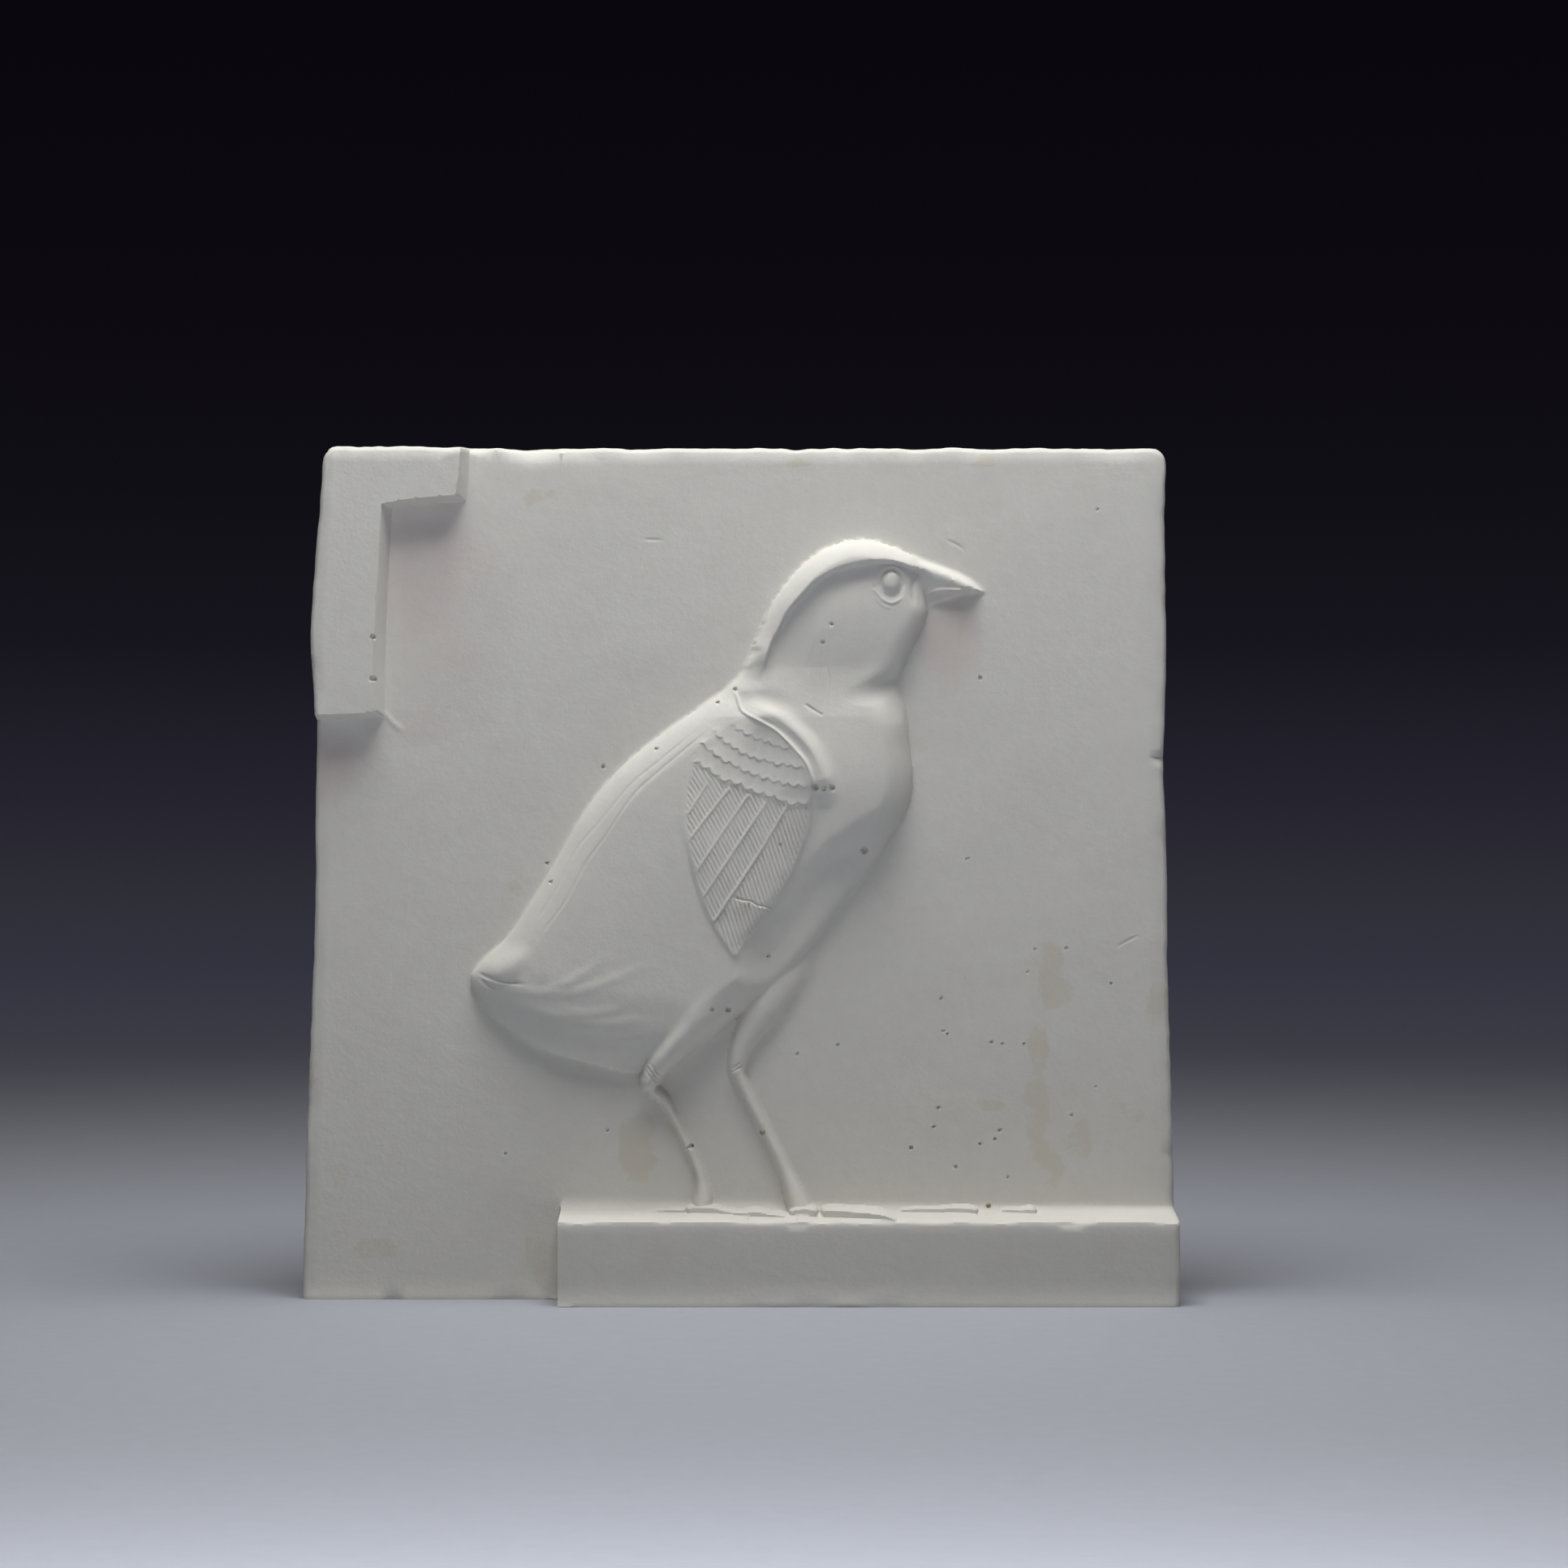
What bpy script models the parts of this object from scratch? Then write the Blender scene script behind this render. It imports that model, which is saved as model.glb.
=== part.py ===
# A plaster casting of a low relief. A young ground bird stands facing right on a raised ledge,
# and a corner of a raised border is left at the upper left of the slab.
# Metres, +Z up. The relief faces -Y and the casting stands on its flat underside.
# The origin is at floor level, under the middle of the whole casting.
import math

import bmesh
import bpy
import numpy as np

# Slab
SLAB_WIDTH = 0.1769
SLAB_HEIGHT = 0.1727
SLAB_THICK = 0.025
FRONT_ROUNDING = 0.0014
CORNER_RADIUS = 0.0032
WAVE_DEPTH = 0.00009
WAVE_LENGTH = 0.0052
EDGE_REACH = 0.022
# How far the two side edges are drawn in, at each share of the slab's height
LEFT_DRAWN_IN = (
    (0.0, 0.0), (0.14, 0.0006), (0.28, 0.0014), (0.47, 0.0026), (0.58, 0.0026),
    (0.69, 0.003), (0.77, 0.0022), (0.86, 0.003), (0.95, 0.0043), (1.0, 0.0047),
)
RIGHT_DRAWN_IN = (
    (0.0, 0.0), (0.11, 0.0), (0.25, 0.0006), (0.39, 0.0013), (0.52, 0.0015),
    (0.63, 0.0022), (0.68, 0.0019), (0.77, 0.0016), (0.9, 0.0019), (1.0, 0.0016),
)

# Ledge along the foot, from LEDGE_LENGTH in from the right edge
LEDGE_LENGTH = 0.1235
LEDGE_PROUD = 0.012
LEDGE_BACK_HEIGHT = 0.0193
LEDGE_TOP_FALL = 0.003
LEDGE_END_SLOPE = 0.0012

# Border remnant, an upright bar and a top bar that meet at the upper left corner
BORDER_PROUD = 0.006
UPRIGHT_WIDTH = 0.0132
UPRIGHT_LENGTH = 0.0543
TOP_BAR_WIDTH = 0.0106
TOP_BAR_LENGTH = 0.0310
BORDER_SLOPE = 0.0019

# Bird. Its outline and carving are shares of its height, in hundredths, to the right of
# the slab's middle and up from where it stands on the ledge
BIRD_HEIGHT = 0.136
BIRD_STAND_DROP = 0.0018
BODY_PROUD = 0.0046
BODY_ROLL = 0.0068
HEAD_PROUD = 0.0046
HEAD_ROLL = 0.0052
BEAK_PROUD = 0.0034
BEAK_ROLL = 0.0021
FOOT_FILLET = 0.0009
NECK_BLEND = 0.0016

BODY_OUTLINE = (
    (-0.7, 78.0), (-6.6, 74.7), (-13.4, 69.9), (-19.0, 65.0), (-25.2, 56.3), (-30.7, 46.7),
    (-34.5, 41.2), (-39.3, 36.6), (-39.3, 32.4), (-35.3, 28.3), (-29.5, 24.7), (-22.7, 22.5),
    (-15.2, 21.0), (-7.0, 24.0), (0.0, 29.3), (8.5, 36.8), (14.5, 44.8), (21.8, 54.2),
    (25.2, 60.2), (25.9, 65.5), (25.4, 72.0), (24.5, 76.2), (21.5, 78.8), (12.0, 79.5),
)
HEAD_OUTLINE = (
    (-0.9, 77.0), (0.9, 81.1), (2.9, 85.8), (5.6, 91.7), (10.3, 97.1), (15.4, 99.8),
    (20.0, 100.1), (24.5, 98.7), (27.8, 97.1), (28.0, 93.0), (28.3, 88.6), (25.7, 83.5),
    (23.0, 78.6), (14.0, 72.0), (4.0, 73.0),
)
BEAK_OUTLINE = (
    (26.6, 98.0), (30.3, 96.5), (34.0, 95.0), (36.9, 92.5), (33.0, 91.9), (28.2, 90.8),
    (26.0, 94.0),
)
UNDERSIDE = ((-39.6, 35.0), (-38.3, 31.2), (-34.0, 27.3), (-27.0, 23.7), (-20.0, 22.0), (-13.0, 21.5))
UNDERSIDE_START = 0.0009
UNDERSIDE_SLOPE = 0.34

# Broad swellings: middle, two radii, turn in degrees, rise
SWELLINGS = (
    ((17.0, 89.0), (11.5, 10.5), 0, 0.0011),
    ((15.5, 66.0), (13.0, 17.0), 0, 0.0019),
    ((-12.0, 52.0), (17.0, 30.0), -38, 0.0006),
)

# Hood of the crown and nape, its lower border from the nape to the beak
HOOD_BORDER = (
    (2.6, 78.5), (4.6, 84.8), (7.2, 89.6), (11.6, 94.4), (17.5, 96.8), (24.4, 96.8), (28.2, 95.6),
)
HOOD_OUTSIDE = ((31.0, 99.0), (20.0, 104.0), (4.0, 98.0), (-4.0, 82.0))
HOOD_RISE = 0.0009
HOOD_STEP = 0.0011

# Eye
EYE_CENTRE = (22.6, 93.6)
EYE_SOCKET = (2.5, 2.1)
EYE_SOCKET_DEPTH = 0.0006
EYE_BALL = (1.35, 1.5)
EYE_BALL_RISE = 0.0013

# Mouth line
MOUTH = ((28.4, 92.6), (31.4, 93.0), (35.5, 92.4))
MOUTH_WIDTH = 0.0009
MOUTH_DEPTH = 0.0005

# Wing, the rim round the shoulder, and the hollow in front of the wing
WING_OUTLINE = (
    (-2.0, 75.2), (1.1, 74.3), (5.2, 72.0), (8.6, 68.9), (10.8, 65.0), (11.0, 60.5), (9.0, 50.4),
    (5.0, 45.5), (-0.9, 38.3), (-4.3, 44.2), (-6.8, 51.4), (-8.0, 60.0), (-6.0, 69.5),
)
WING_RISE = 0.0009
WING_STEP = 0.0010
SHOULDER_RIM = ((2.5, 76.2), (7.6, 73.8), (12.1, 68.5), (14.7, 63.4))
RIM_WIDTH = 0.0022
RIM_RISE = 0.0011
WING_GROOVE = ((1.4, 75.4), (6.4, 72.5), (10.4, 68.2), (12.4, 63.5), (11.8, 56.0), (9.2, 48.0), (3.5, 41.4))
GROOVE_WIDTH = 0.0017
GROOVE_DEPTH = 0.0007

# Legs: points down the middle, half widths at those points, both in hundredths, and rise
NEAR_THIGH = ((-1.0, 36.0), (-4.4, 31.7), (-7.2, 28.0), (-9.7, 25.0), (-11.9, 22.2), (-13.5, 19.4))
NEAR_THIGH_WIDTHS = (5.6, 4.6, 3.5, 2.7, 2.1, 1.7)
NEAR_THIGH_RISES = (0.0052, 0.0052, 0.0048, 0.0044, 0.0038, 0.0032)
FAR_THIGH = ((8.5, 39.5), (5.6, 34.0), (2.8, 29.3), (0.5, 24.6), (-0.3, 21.4))
FAR_THIGH_WIDTHS = (3.2, 3.5, 3.1, 2.0, 1.3)
FAR_THIGH_RISES = (0.0026, 0.0028, 0.0028, 0.0026, 0.0024)
NEAR_SHANK = ((-13.0, 18.6), (-11.4, 17.0), (-8.8, 12.4), (-6.2, 7.2), (-5.2, 3.4), (-5.3, 0.8))
NEAR_SHANK_WIDTHS = (1.3, 0.75, 0.65, 0.65, 0.75, 1.4)
NEAR_SHANK_RISES = (0.0030, 0.0020, 0.0018, 0.0018, 0.0022, 0.0030)
FAR_SHANK = ((-0.2, 21.0), (1.5, 17.2), (4.9, 10.4), (7.6, 4.8), (9.0, 1.0))
FAR_SHANK_WIDTHS = (1.2, 0.95, 0.9, 1.0, 1.6)
FAR_SHANK_RISES = (0.0026, 0.0022, 0.0020, 0.0022, 0.0030)

# Toes on the ledge: from and to, to the right of the slab's middle, in hundredths of the bird
TOES = ((-12.5, 7.5), (7.0, 23.0), (24.0, 33.0))
TOE_HALF_HEIGHT = 0.0009
TOE_PROUD = 0.0015
TOE_DROP = 0.0010

# Mesh
PLAIN_CELL = 0.0086
FORM_CELL = 0.0025
LINE_CELL = 0.00125
OUTLINE_BAND = 0.0006
DETAIL_BAND = 0.0016
CELL_GROWTH = 0.4
EDGE_SLACK = 1.35
SNAP_SHARE = 0.45

PLASTER_COLOUR = (0.60, 0.59, 0.57, 1.0)
PLASTER_ROUGHNESS = 0.85


# Curves and distances in the plan of the relief, x to the right and z up

def smooth_curve(points, closed=False, steps=6):
    spots = np.array(points, float)
    if closed:
        padded = np.vstack([spots[-1:], spots, spots[:2]])
    else:
        padded = np.vstack([2 * spots[0] - spots[1], spots, 2 * spots[-1] - spots[-2]])
    t = (np.arange(steps) / steps)[:, None]
    runs = []
    for a, b, c, d in zip(padded, padded[1:], padded[2:], padded[3:]):
        bend = (2 * a - 5 * b + 4 * c - d) * t ** 2 + (3 * b - a - 3 * c + d) * t ** 3
        runs.append(0.5 * (2 * b + (c - a) * t + bend))
    runs.append(spots[:1] if closed else spots[-1:])
    return np.vstack(runs)


def along(spots, line):
    # The distance from each spot to the line, and how far along the line its nearest place is
    gap = np.full(len(spots), np.inf)
    share = np.zeros(len(spots))
    lengths = np.hypot(*np.diff(line, axis=0).T)
    passed = 0.0
    for start, end, length in zip(line, line[1:], lengths):
        step = end - start
        t = np.clip((spots - start) @ step / max(step @ step, 1e-12), 0, 1)
        reach = np.hypot(*(spots - start - t[:, None] * step).T)
        nearer = reach < gap
        gap[nearer] = reach[nearer]
        share[nearer] = passed + t[nearer] * length
        passed += length
    return gap, share / passed


def depth_inside(spots, loop):
    # The distance to a closed loop, positive inside it
    gap, _ = along(spots, loop)
    inside = np.zeros(len(spots), bool)
    x, z = spots.T
    for (x0, z0), (x1, z1) in zip(loop, loop[1:]):
        crosses = (z0 > z) != (z1 > z)
        rise = z1 - z0 if z1 != z0 else 1e-12
        inside ^= crosses & (x < x0 + (z - z0) * (x1 - x0) / rise)
    return np.where(inside, gap, -gap)


def rolled(depth, proud, roll):
    # A form that rolls up from its outline as a quarter ellipse, and sinks fast outside it
    t = np.clip(depth / roll, 0, 1)
    return np.where(depth > 0, proud * np.sqrt(1 - (1 - t) ** 2), 3 * depth)


def step_up(depth, width):
    t = np.clip(depth / width + 0.5, 0, 1)
    return t * t * (3 - 2 * t)


def blended_top(a, b, blend):
    overlap = np.maximum(blend - np.abs(a - b), 0) / blend
    return np.maximum(a, b) + overlap ** 2 * blend / 4


def blended_low(a, b, blend):
    return -blended_top(-a, -b, blend)


def swelling(spots, middle, radii, turn, rise):
    angle = math.radians(turn)
    x, z = (spots - middle).T
    across = (x * math.cos(angle) + z * math.sin(angle)) / radii[0]
    upward = (z * math.cos(angle) - x * math.sin(angle)) / radii[1]
    return rise * np.clip(1 - across ** 2 - upward ** 2, 0, 1) ** 2


def ridge(spots, line, width, rise):
    # Rounded ridge along a line, or a groove if the rise is negative, fading at its ends
    gap, share = along(spots, line)
    fade = np.clip(np.minimum(share, 1 - share) / 0.12, 0, 1)
    return rise * fade * np.clip(1 - (gap / width) ** 2, 0, 1) ** 2


def limb(spots, line, widths, rises):
    gap, share = along(spots, line)
    stops = np.linspace(0, 1, len(widths))
    half = np.interp(share, stops, widths)
    rise = np.interp(share, stops, rises)
    rounded = rise * np.sqrt(np.clip(1 - (gap / half) ** 2, 0, 1))
    return np.where(gap < half, rounded, 3 * (half - gap))


# Places in the plan

def bird_spots(points):
    scale = BIRD_HEIGHT / 100
    stand = LEDGE_BACK_HEIGHT - BIRD_STAND_DROP
    return [(u * scale, stand + v * scale) for u, v in points]


def bird_curve(points, closed=False):
    return smooth_curve(bird_spots(points), closed)


def bird_widths(widths):
    return [width * BIRD_HEIGHT / 100 for width in widths]


def edge_lines():
    half = SLAB_WIDTH / 2
    return {
        "ledge end": half - LEDGE_LENGTH,
        "ledge end foot": half - LEDGE_LENGTH - LEDGE_END_SLOPE,
        "upright edge": -half + UPRIGHT_WIDTH,
        "upright foot": -half + UPRIGHT_WIDTH + BORDER_SLOPE,
        "top bar end": -half + TOP_BAR_LENGTH,
        "top bar end foot": -half + TOP_BAR_LENGTH + BORDER_SLOPE,
    }


def level_lines():
    return {
        "ledge back": LEDGE_BACK_HEIGHT,
        "ledge front": LEDGE_BACK_HEIGHT - LEDGE_TOP_FALL,
        "upright low edge": SLAB_HEIGHT - UPRIGHT_LENGTH,
        "upright low foot": SLAB_HEIGHT - UPRIGHT_LENGTH - BORDER_SLOPE,
        "top bar edge": SLAB_HEIGHT - TOP_BAR_WIDTH,
        "top bar foot": SLAB_HEIGHT - TOP_BAR_WIDTH - BORDER_SLOPE,
    }


# Heights of the relief above the slab's face

def ledge_height(spots):
    x, z = spots.T
    lines, levels = edge_lines(), level_lines()
    end = np.clip((x - lines["ledge end foot"]) / LEDGE_END_SLOPE, 0, 1)
    fall = np.clip((levels["ledge back"] - z) / LEDGE_TOP_FALL, 0, 1)
    return LEDGE_PROUD * np.minimum(end, fall)


def border_height(spots):
    x, z = spots.T
    lines, levels = edge_lines(), level_lines()
    side = np.clip((lines["upright foot"] - x) / BORDER_SLOPE, 0, 1)
    low = np.clip((z - levels["upright low foot"]) / BORDER_SLOPE, 0, 1)
    under = np.clip((z - levels["top bar foot"]) / BORDER_SLOPE, 0, 1)
    end = np.clip((lines["top bar end foot"] - x) / BORDER_SLOPE, 0, 1)
    return BORDER_PROUD * np.maximum(np.minimum(side, low), np.minimum(under, end))


def body_height(spots):
    form = rolled(depth_inside(spots, bird_curve(BODY_OUTLINE, True)), BODY_PROUD, BODY_ROLL)
    gap, _ = along(spots, bird_curve(UNDERSIDE))
    tuck = UNDERSIDE_START + UNDERSIDE_SLOPE * gap
    return blended_low(form, tuck, FOOT_FILLET)


def head_height(spots):
    form = rolled(depth_inside(spots, bird_curve(HEAD_OUTLINE, True)), HEAD_PROUD, HEAD_ROLL)
    loop = np.vstack([bird_curve(HOOD_BORDER), bird_spots(HOOD_OUTSIDE)])
    hood = step_up(depth_inside(spots, np.vstack([loop, loop[:1]])), HOOD_STEP)
    form = form + np.where(form > 0, HOOD_RISE * hood * np.clip(form / HEAD_PROUD, 0, 1), 0)
    beak = rolled(depth_inside(spots, bird_curve(BEAK_OUTLINE, True)), BEAK_PROUD, BEAK_ROLL)
    form = blended_top(form, beak, FOOT_FILLET)
    form = form + ridge(spots, bird_curve(MOUTH), MOUTH_WIDTH, -MOUTH_DEPTH)
    scale = BIRD_HEIGHT / 100
    eye = np.array(bird_spots([EYE_CENTRE])[0])
    socket = [EYE_SOCKET[0] * scale, EYE_SOCKET[1] * scale]
    ball = [EYE_BALL[0] * scale, EYE_BALL[1] * scale]
    form = form + swelling(spots, eye, socket, 0, -EYE_SOCKET_DEPTH)
    return form + swelling(spots, eye, ball, 0, EYE_BALL_RISE)


def wing_height(spots):
    depth = depth_inside(spots, bird_curve(WING_OUTLINE, True))
    rise = WING_RISE * step_up(depth, WING_STEP)
    rise = rise + ridge(spots, bird_curve(WING_GROOVE), GROOVE_WIDTH, -GROOVE_DEPTH)
    return rise + ridge(spots, bird_curve(SHOULDER_RIM), RIM_WIDTH, RIM_RISE)


def leg_height(spots, ground):
    limbs = (
        (FAR_THIGH, FAR_THIGH_WIDTHS, FAR_THIGH_RISES),
        (FAR_SHANK, FAR_SHANK_WIDTHS, FAR_SHANK_RISES),
        (NEAR_THIGH, NEAR_THIGH_WIDTHS, NEAR_THIGH_RISES),
        (NEAR_SHANK, NEAR_SHANK_WIDTHS, NEAR_SHANK_RISES),
    )
    for points, widths, rises in limbs:
        form = limb(spots, bird_curve(points), bird_widths(widths), rises)
        ground = blended_top(ground, form, FOOT_FILLET)
    return ground


def toe_height(spots):
    scale = BIRD_HEIGHT / 100
    level = LEDGE_BACK_HEIGHT - TOE_DROP
    rise = np.zeros(len(spots))
    for start, end in TOES:
        line = np.array([(start * scale, level), (end * scale, level - TOE_HALF_HEIGHT / 2)])
        rise = rise + ridge(spots, line, TOE_HALF_HEIGHT, TOE_PROUD)
    return rise


def bird_height(spots):
    form = blended_top(body_height(spots), head_height(spots), NECK_BLEND)
    scale = BIRD_HEIGHT / 100
    cover = np.clip(form / BODY_PROUD, 0, 1)
    for middle, radii, turn, rise in SWELLINGS:
        place = np.array(bird_spots([middle])[0])
        form = form + cover * swelling(spots, place, [radius * scale for radius in radii], turn, rise)
    form = form + np.where(form > 0, wing_height(spots), 0)
    return leg_height(spots, form)


def hand_worked(spots):
    # Shallow waves that scraping leaves in the plaster
    x, z = spots.T / WAVE_LENGTH
    wave = np.sin(x + 0.6 * np.sin(z * 0.7)) * np.sin(0.8 * z + 0.5 * np.sin(1.3 * x))
    return WAVE_DEPTH * (wave + 0.5 * np.sin(1.7 * x + 2.1 * z))


def relief_height(spots):
    ground = np.maximum(ledge_height(spots), border_height(spots)) + hand_worked(spots)
    on_slab = blended_top(bird_height(spots), hand_worked(spots), FOOT_FILLET)
    return np.maximum(ground, on_slab) + toe_height(spots)


def edge_rounding(spots):
    # How far the front falls back towards the slab's own edges
    x, z = spots.T
    inward = np.minimum(np.minimum(x + SLAB_WIDTH / 2, SLAB_WIDTH / 2 - x), SLAB_HEIGHT - z)
    inward = np.minimum(inward, z)
    t = np.clip(inward / FRONT_ROUNDING, 0, 1)
    return FRONT_ROUNDING * (1 - np.sqrt(1 - (1 - t) ** 2))


# Mesh of the front

def stops(marks, low, high, cell):
    # Grid lines on every mark, with even cells no larger than the given one between them
    inner = sorted(mark for mark in marks if low + 1e-4 < mark < high - 1e-4)
    places = [low]
    for start, end in zip([low] + inner, inner + [high]):
        count = max(1, math.ceil((end - start) / cell - 0.25))
        places.extend(start + (end - start) * (k + 1) / count for k in range(count))
    return places


def plan_grid():
    half = SLAB_WIDTH / 2
    marks = list(edge_lines().values()) + [FRONT_ROUNDING - half, half - FRONT_ROUNDING]
    levels = list(level_lines().values()) + [FRONT_ROUNDING, SLAB_HEIGHT - FRONT_ROUNDING]
    columns = stops(marks, -half, half, PLAIN_CELL)
    rows = stops(levels, 0.0, SLAB_HEIGHT, PLAIN_CELL)
    mesh = bmesh.new()
    bmesh.ops.create_grid(mesh, x_segments=len(columns) - 1, y_segments=len(rows) - 1, size=1.0)
    for vert in mesh.verts:
        column = round((vert.co.x + 1) / 2 * (len(columns) - 1))
        row = round((vert.co.y + 1) / 2 * (len(rows) - 1))
        vert.co = (columns[column], 0.0, rows[row])
    return mesh


def plan_spots(verts):
    return np.array([(vert.co.x, vert.co.z) for vert in verts])


def limb_sides(line, widths):
    # The two outlines of a limb, on either side of its middle line
    across = np.gradient(line, axis=0) @ np.array([[0.0, 1.0], [-1.0, 0.0]])
    across /= np.hypot(*across.T)[:, None]
    half = np.interp(np.linspace(0, 1, len(line)), np.linspace(0, 1, len(widths)), widths)
    return [line + across * half[:, None], line - across * half[:, None]]


def feature_lines():
    lines = [bird_curve(BODY_OUTLINE, True), bird_curve(HEAD_OUTLINE, True)]
    lines += [bird_curve(BEAK_OUTLINE, True), bird_curve(WING_OUTLINE, True)]
    return lines


def detail_lines():
    lines = [bird_curve(points) for points in (HOOD_BORDER, SHOULDER_RIM, MOUTH)]
    lines += [bird_curve(points) for points in (NEAR_SHANK, FAR_SHANK)]
    for points, widths in ((NEAR_THIGH, NEAR_THIGH_WIDTHS), (FAR_THIGH, FAR_THIGH_WIDTHS)):
        lines += limb_sides(bird_curve(points), bird_widths(widths))
    scale = BIRD_HEIGHT / 100
    level = LEDGE_BACK_HEIGHT - TOE_DROP
    lines += [np.array([(start * scale, level), (end * scale, level)]) for start, end in TOES]
    eye = np.array(bird_spots([EYE_CENTRE])[0])
    lines.append(np.array([eye, eye + (1e-4, 0)]))
    return lines


def wanted_cell(spots):
    # The cell that the relief wants at each spot. It grows slowly with the distance to a line,
    # so that every halving of the grid ends on whole cells
    form = depth_inside(spots, bird_curve(BODY_OUTLINE, True))
    form = np.maximum(form, depth_inside(spots, bird_curve(HEAD_OUTLINE, True)))
    beyond = np.maximum(np.maximum(-form, form - BODY_ROLL), 0)
    wanted = np.minimum(FORM_CELL + CELL_GROWTH * beyond, PLAIN_CELL)
    for lines, band in ((feature_lines(), OUTLINE_BAND), (detail_lines(), DETAIL_BAND)):
        for line in lines:
            gap, _ = along(spots, line)
            wanted = np.minimum(wanted, LINE_CELL + CELL_GROWTH * np.maximum(gap - band, 0))
    return wanted


def refine(mesh):
    # Each pass halves the edges that are longer than the relief under their faces wants
    for _ in range(3):
        faces = [face for face in mesh.faces if len(face.verts) == 4]
        wanted = wanted_cell(np.array([face.calc_center_median().xz for face in faces]))
        long_edges = {
            edge.index: edge
            for face, cell in zip(faces, wanted) for edge in face.edges
            if edge.calc_length() > EDGE_SLACK * cell
        }
        edges = [long_edges[index] for index in sorted(long_edges)]
        bmesh.ops.subdivide_edges(mesh, edges=edges, cuts=1, use_grid_fill=True)
        mesh.edges.index_update()


def draw_onto_lines(mesh):
    # Vertices close to the bird's outlines move onto them, so that the outlines stay crisp
    verts = [vert for vert in mesh.verts if not vert.is_boundary]
    spots = plan_spots(verts)
    sizes = np.array([min(edge.calc_length() for edge in vert.link_edges) for vert in verts])
    for line in feature_lines():
        gap, share = along(spots, line)
        lengths = np.concatenate([[0], np.cumsum(np.hypot(*np.diff(line, axis=0).T))])
        place = share * lengths[-1]
        nearest = np.column_stack([np.interp(place, lengths, line[:, k]) for k in (0, 1)])
        close = gap < SNAP_SHARE * sizes
        spots[close] = nearest[close]
        sizes[close] = 0
    for vert, (x, z) in zip(verts, spots):
        vert.co = (x, 0.0, z)


def worn_outline(spots):
    # The straight plan drawn in to the casting's wavy sides and rounded corners
    x, z = spots.T
    half = SLAB_WIDTH / 2
    height_share = z / SLAB_HEIGHT
    left = smooth_curve(LEFT_DRAWN_IN)
    right = smooth_curve(RIGHT_DRAWN_IN)
    from_left = np.clip(1 - (x + half) / EDGE_REACH, 0, 1)
    from_right = np.clip(1 - (half - x) / EDGE_REACH, 0, 1)
    moved = x + from_left * np.interp(height_share, left[:, 0], left[:, 1])
    moved = moved - from_right * np.interp(height_share, right[:, 0], right[:, 1])
    a = np.clip((np.abs(x) - half + CORNER_RADIUS) / CORNER_RADIUS, 0, 1)
    b = np.clip((z - SLAB_HEIGHT + CORNER_RADIUS) / CORNER_RADIUS, 0, 1)
    reach = np.hypot(a, b)
    pull = np.where(reach > 0, 1 - np.maximum(a, b) / np.maximum(reach, 1e-9), 0)
    moved = moved - np.sign(x) * a * pull * CORNER_RADIUS
    return np.column_stack([moved, z - b * pull * CORNER_RADIUS])


def shape_front(mesh):
    verts = list(mesh.verts)
    spots = plan_spots(verts)
    proud = relief_height(spots) - edge_rounding(spots)
    placed = worn_outline(spots)
    face = (LEDGE_PROUD - SLAB_THICK) / 2
    for vert, (x, z), rise in zip(verts, placed, proud):
        vert.co = (x, face - min(rise, LEDGE_PROUD), z)


def close_back(mesh):
    back = (LEDGE_PROUD + SLAB_THICK) / 2
    rim = [edge for edge in mesh.edges if edge.is_boundary]
    made = bmesh.ops.extrude_edge_only(mesh, edges=rim)["geom"]
    for item in made:
        if isinstance(item, bmesh.types.BMVert):
            item.co.y = back
    far = [item for item in made if isinstance(item, bmesh.types.BMEdge) and item.is_boundary]
    bmesh.ops.contextual_create(mesh, geom=far)


def plaster_material():
    material = bpy.data.materials.new("plaster")
    material.use_nodes = True
    shader = material.node_tree.nodes["Principled BSDF"]
    shader.inputs["Base Color"].default_value = PLASTER_COLOUR
    shader.inputs["Roughness"].default_value = PLASTER_ROUGHNESS
    shader.inputs["Metallic"].default_value = 0.0
    return material


def plaster_relief():
    mesh = plan_grid()
    refine(mesh)
    draw_onto_lines(mesh)
    shape_front(mesh)
    close_back(mesh)
    bmesh.ops.triangulate(mesh, faces=mesh.faces, quad_method="BEAUTY", ngon_method="BEAUTY")
    bmesh.ops.recalc_face_normals(mesh, faces=mesh.faces)
    data = bpy.data.meshes.new("plaster_relief")
    mesh.to_mesh(data)
    mesh.free()
    data.materials.append(plaster_material())
    thing = bpy.data.objects.new("plaster_relief", data)
    bpy.context.scene.collection.objects.link(thing)
    data.shade_smooth()
    data.set_sharp_from_angle(angle=math.radians(35))
    return thing


for thing in list(bpy.data.objects):
    bpy.data.objects.remove(thing)

relief = plaster_relief()
print("triangles", len(relief.data.polygons))
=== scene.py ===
import math

import bmesh
import bpy
import numpy as np
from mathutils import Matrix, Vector, noise


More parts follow.
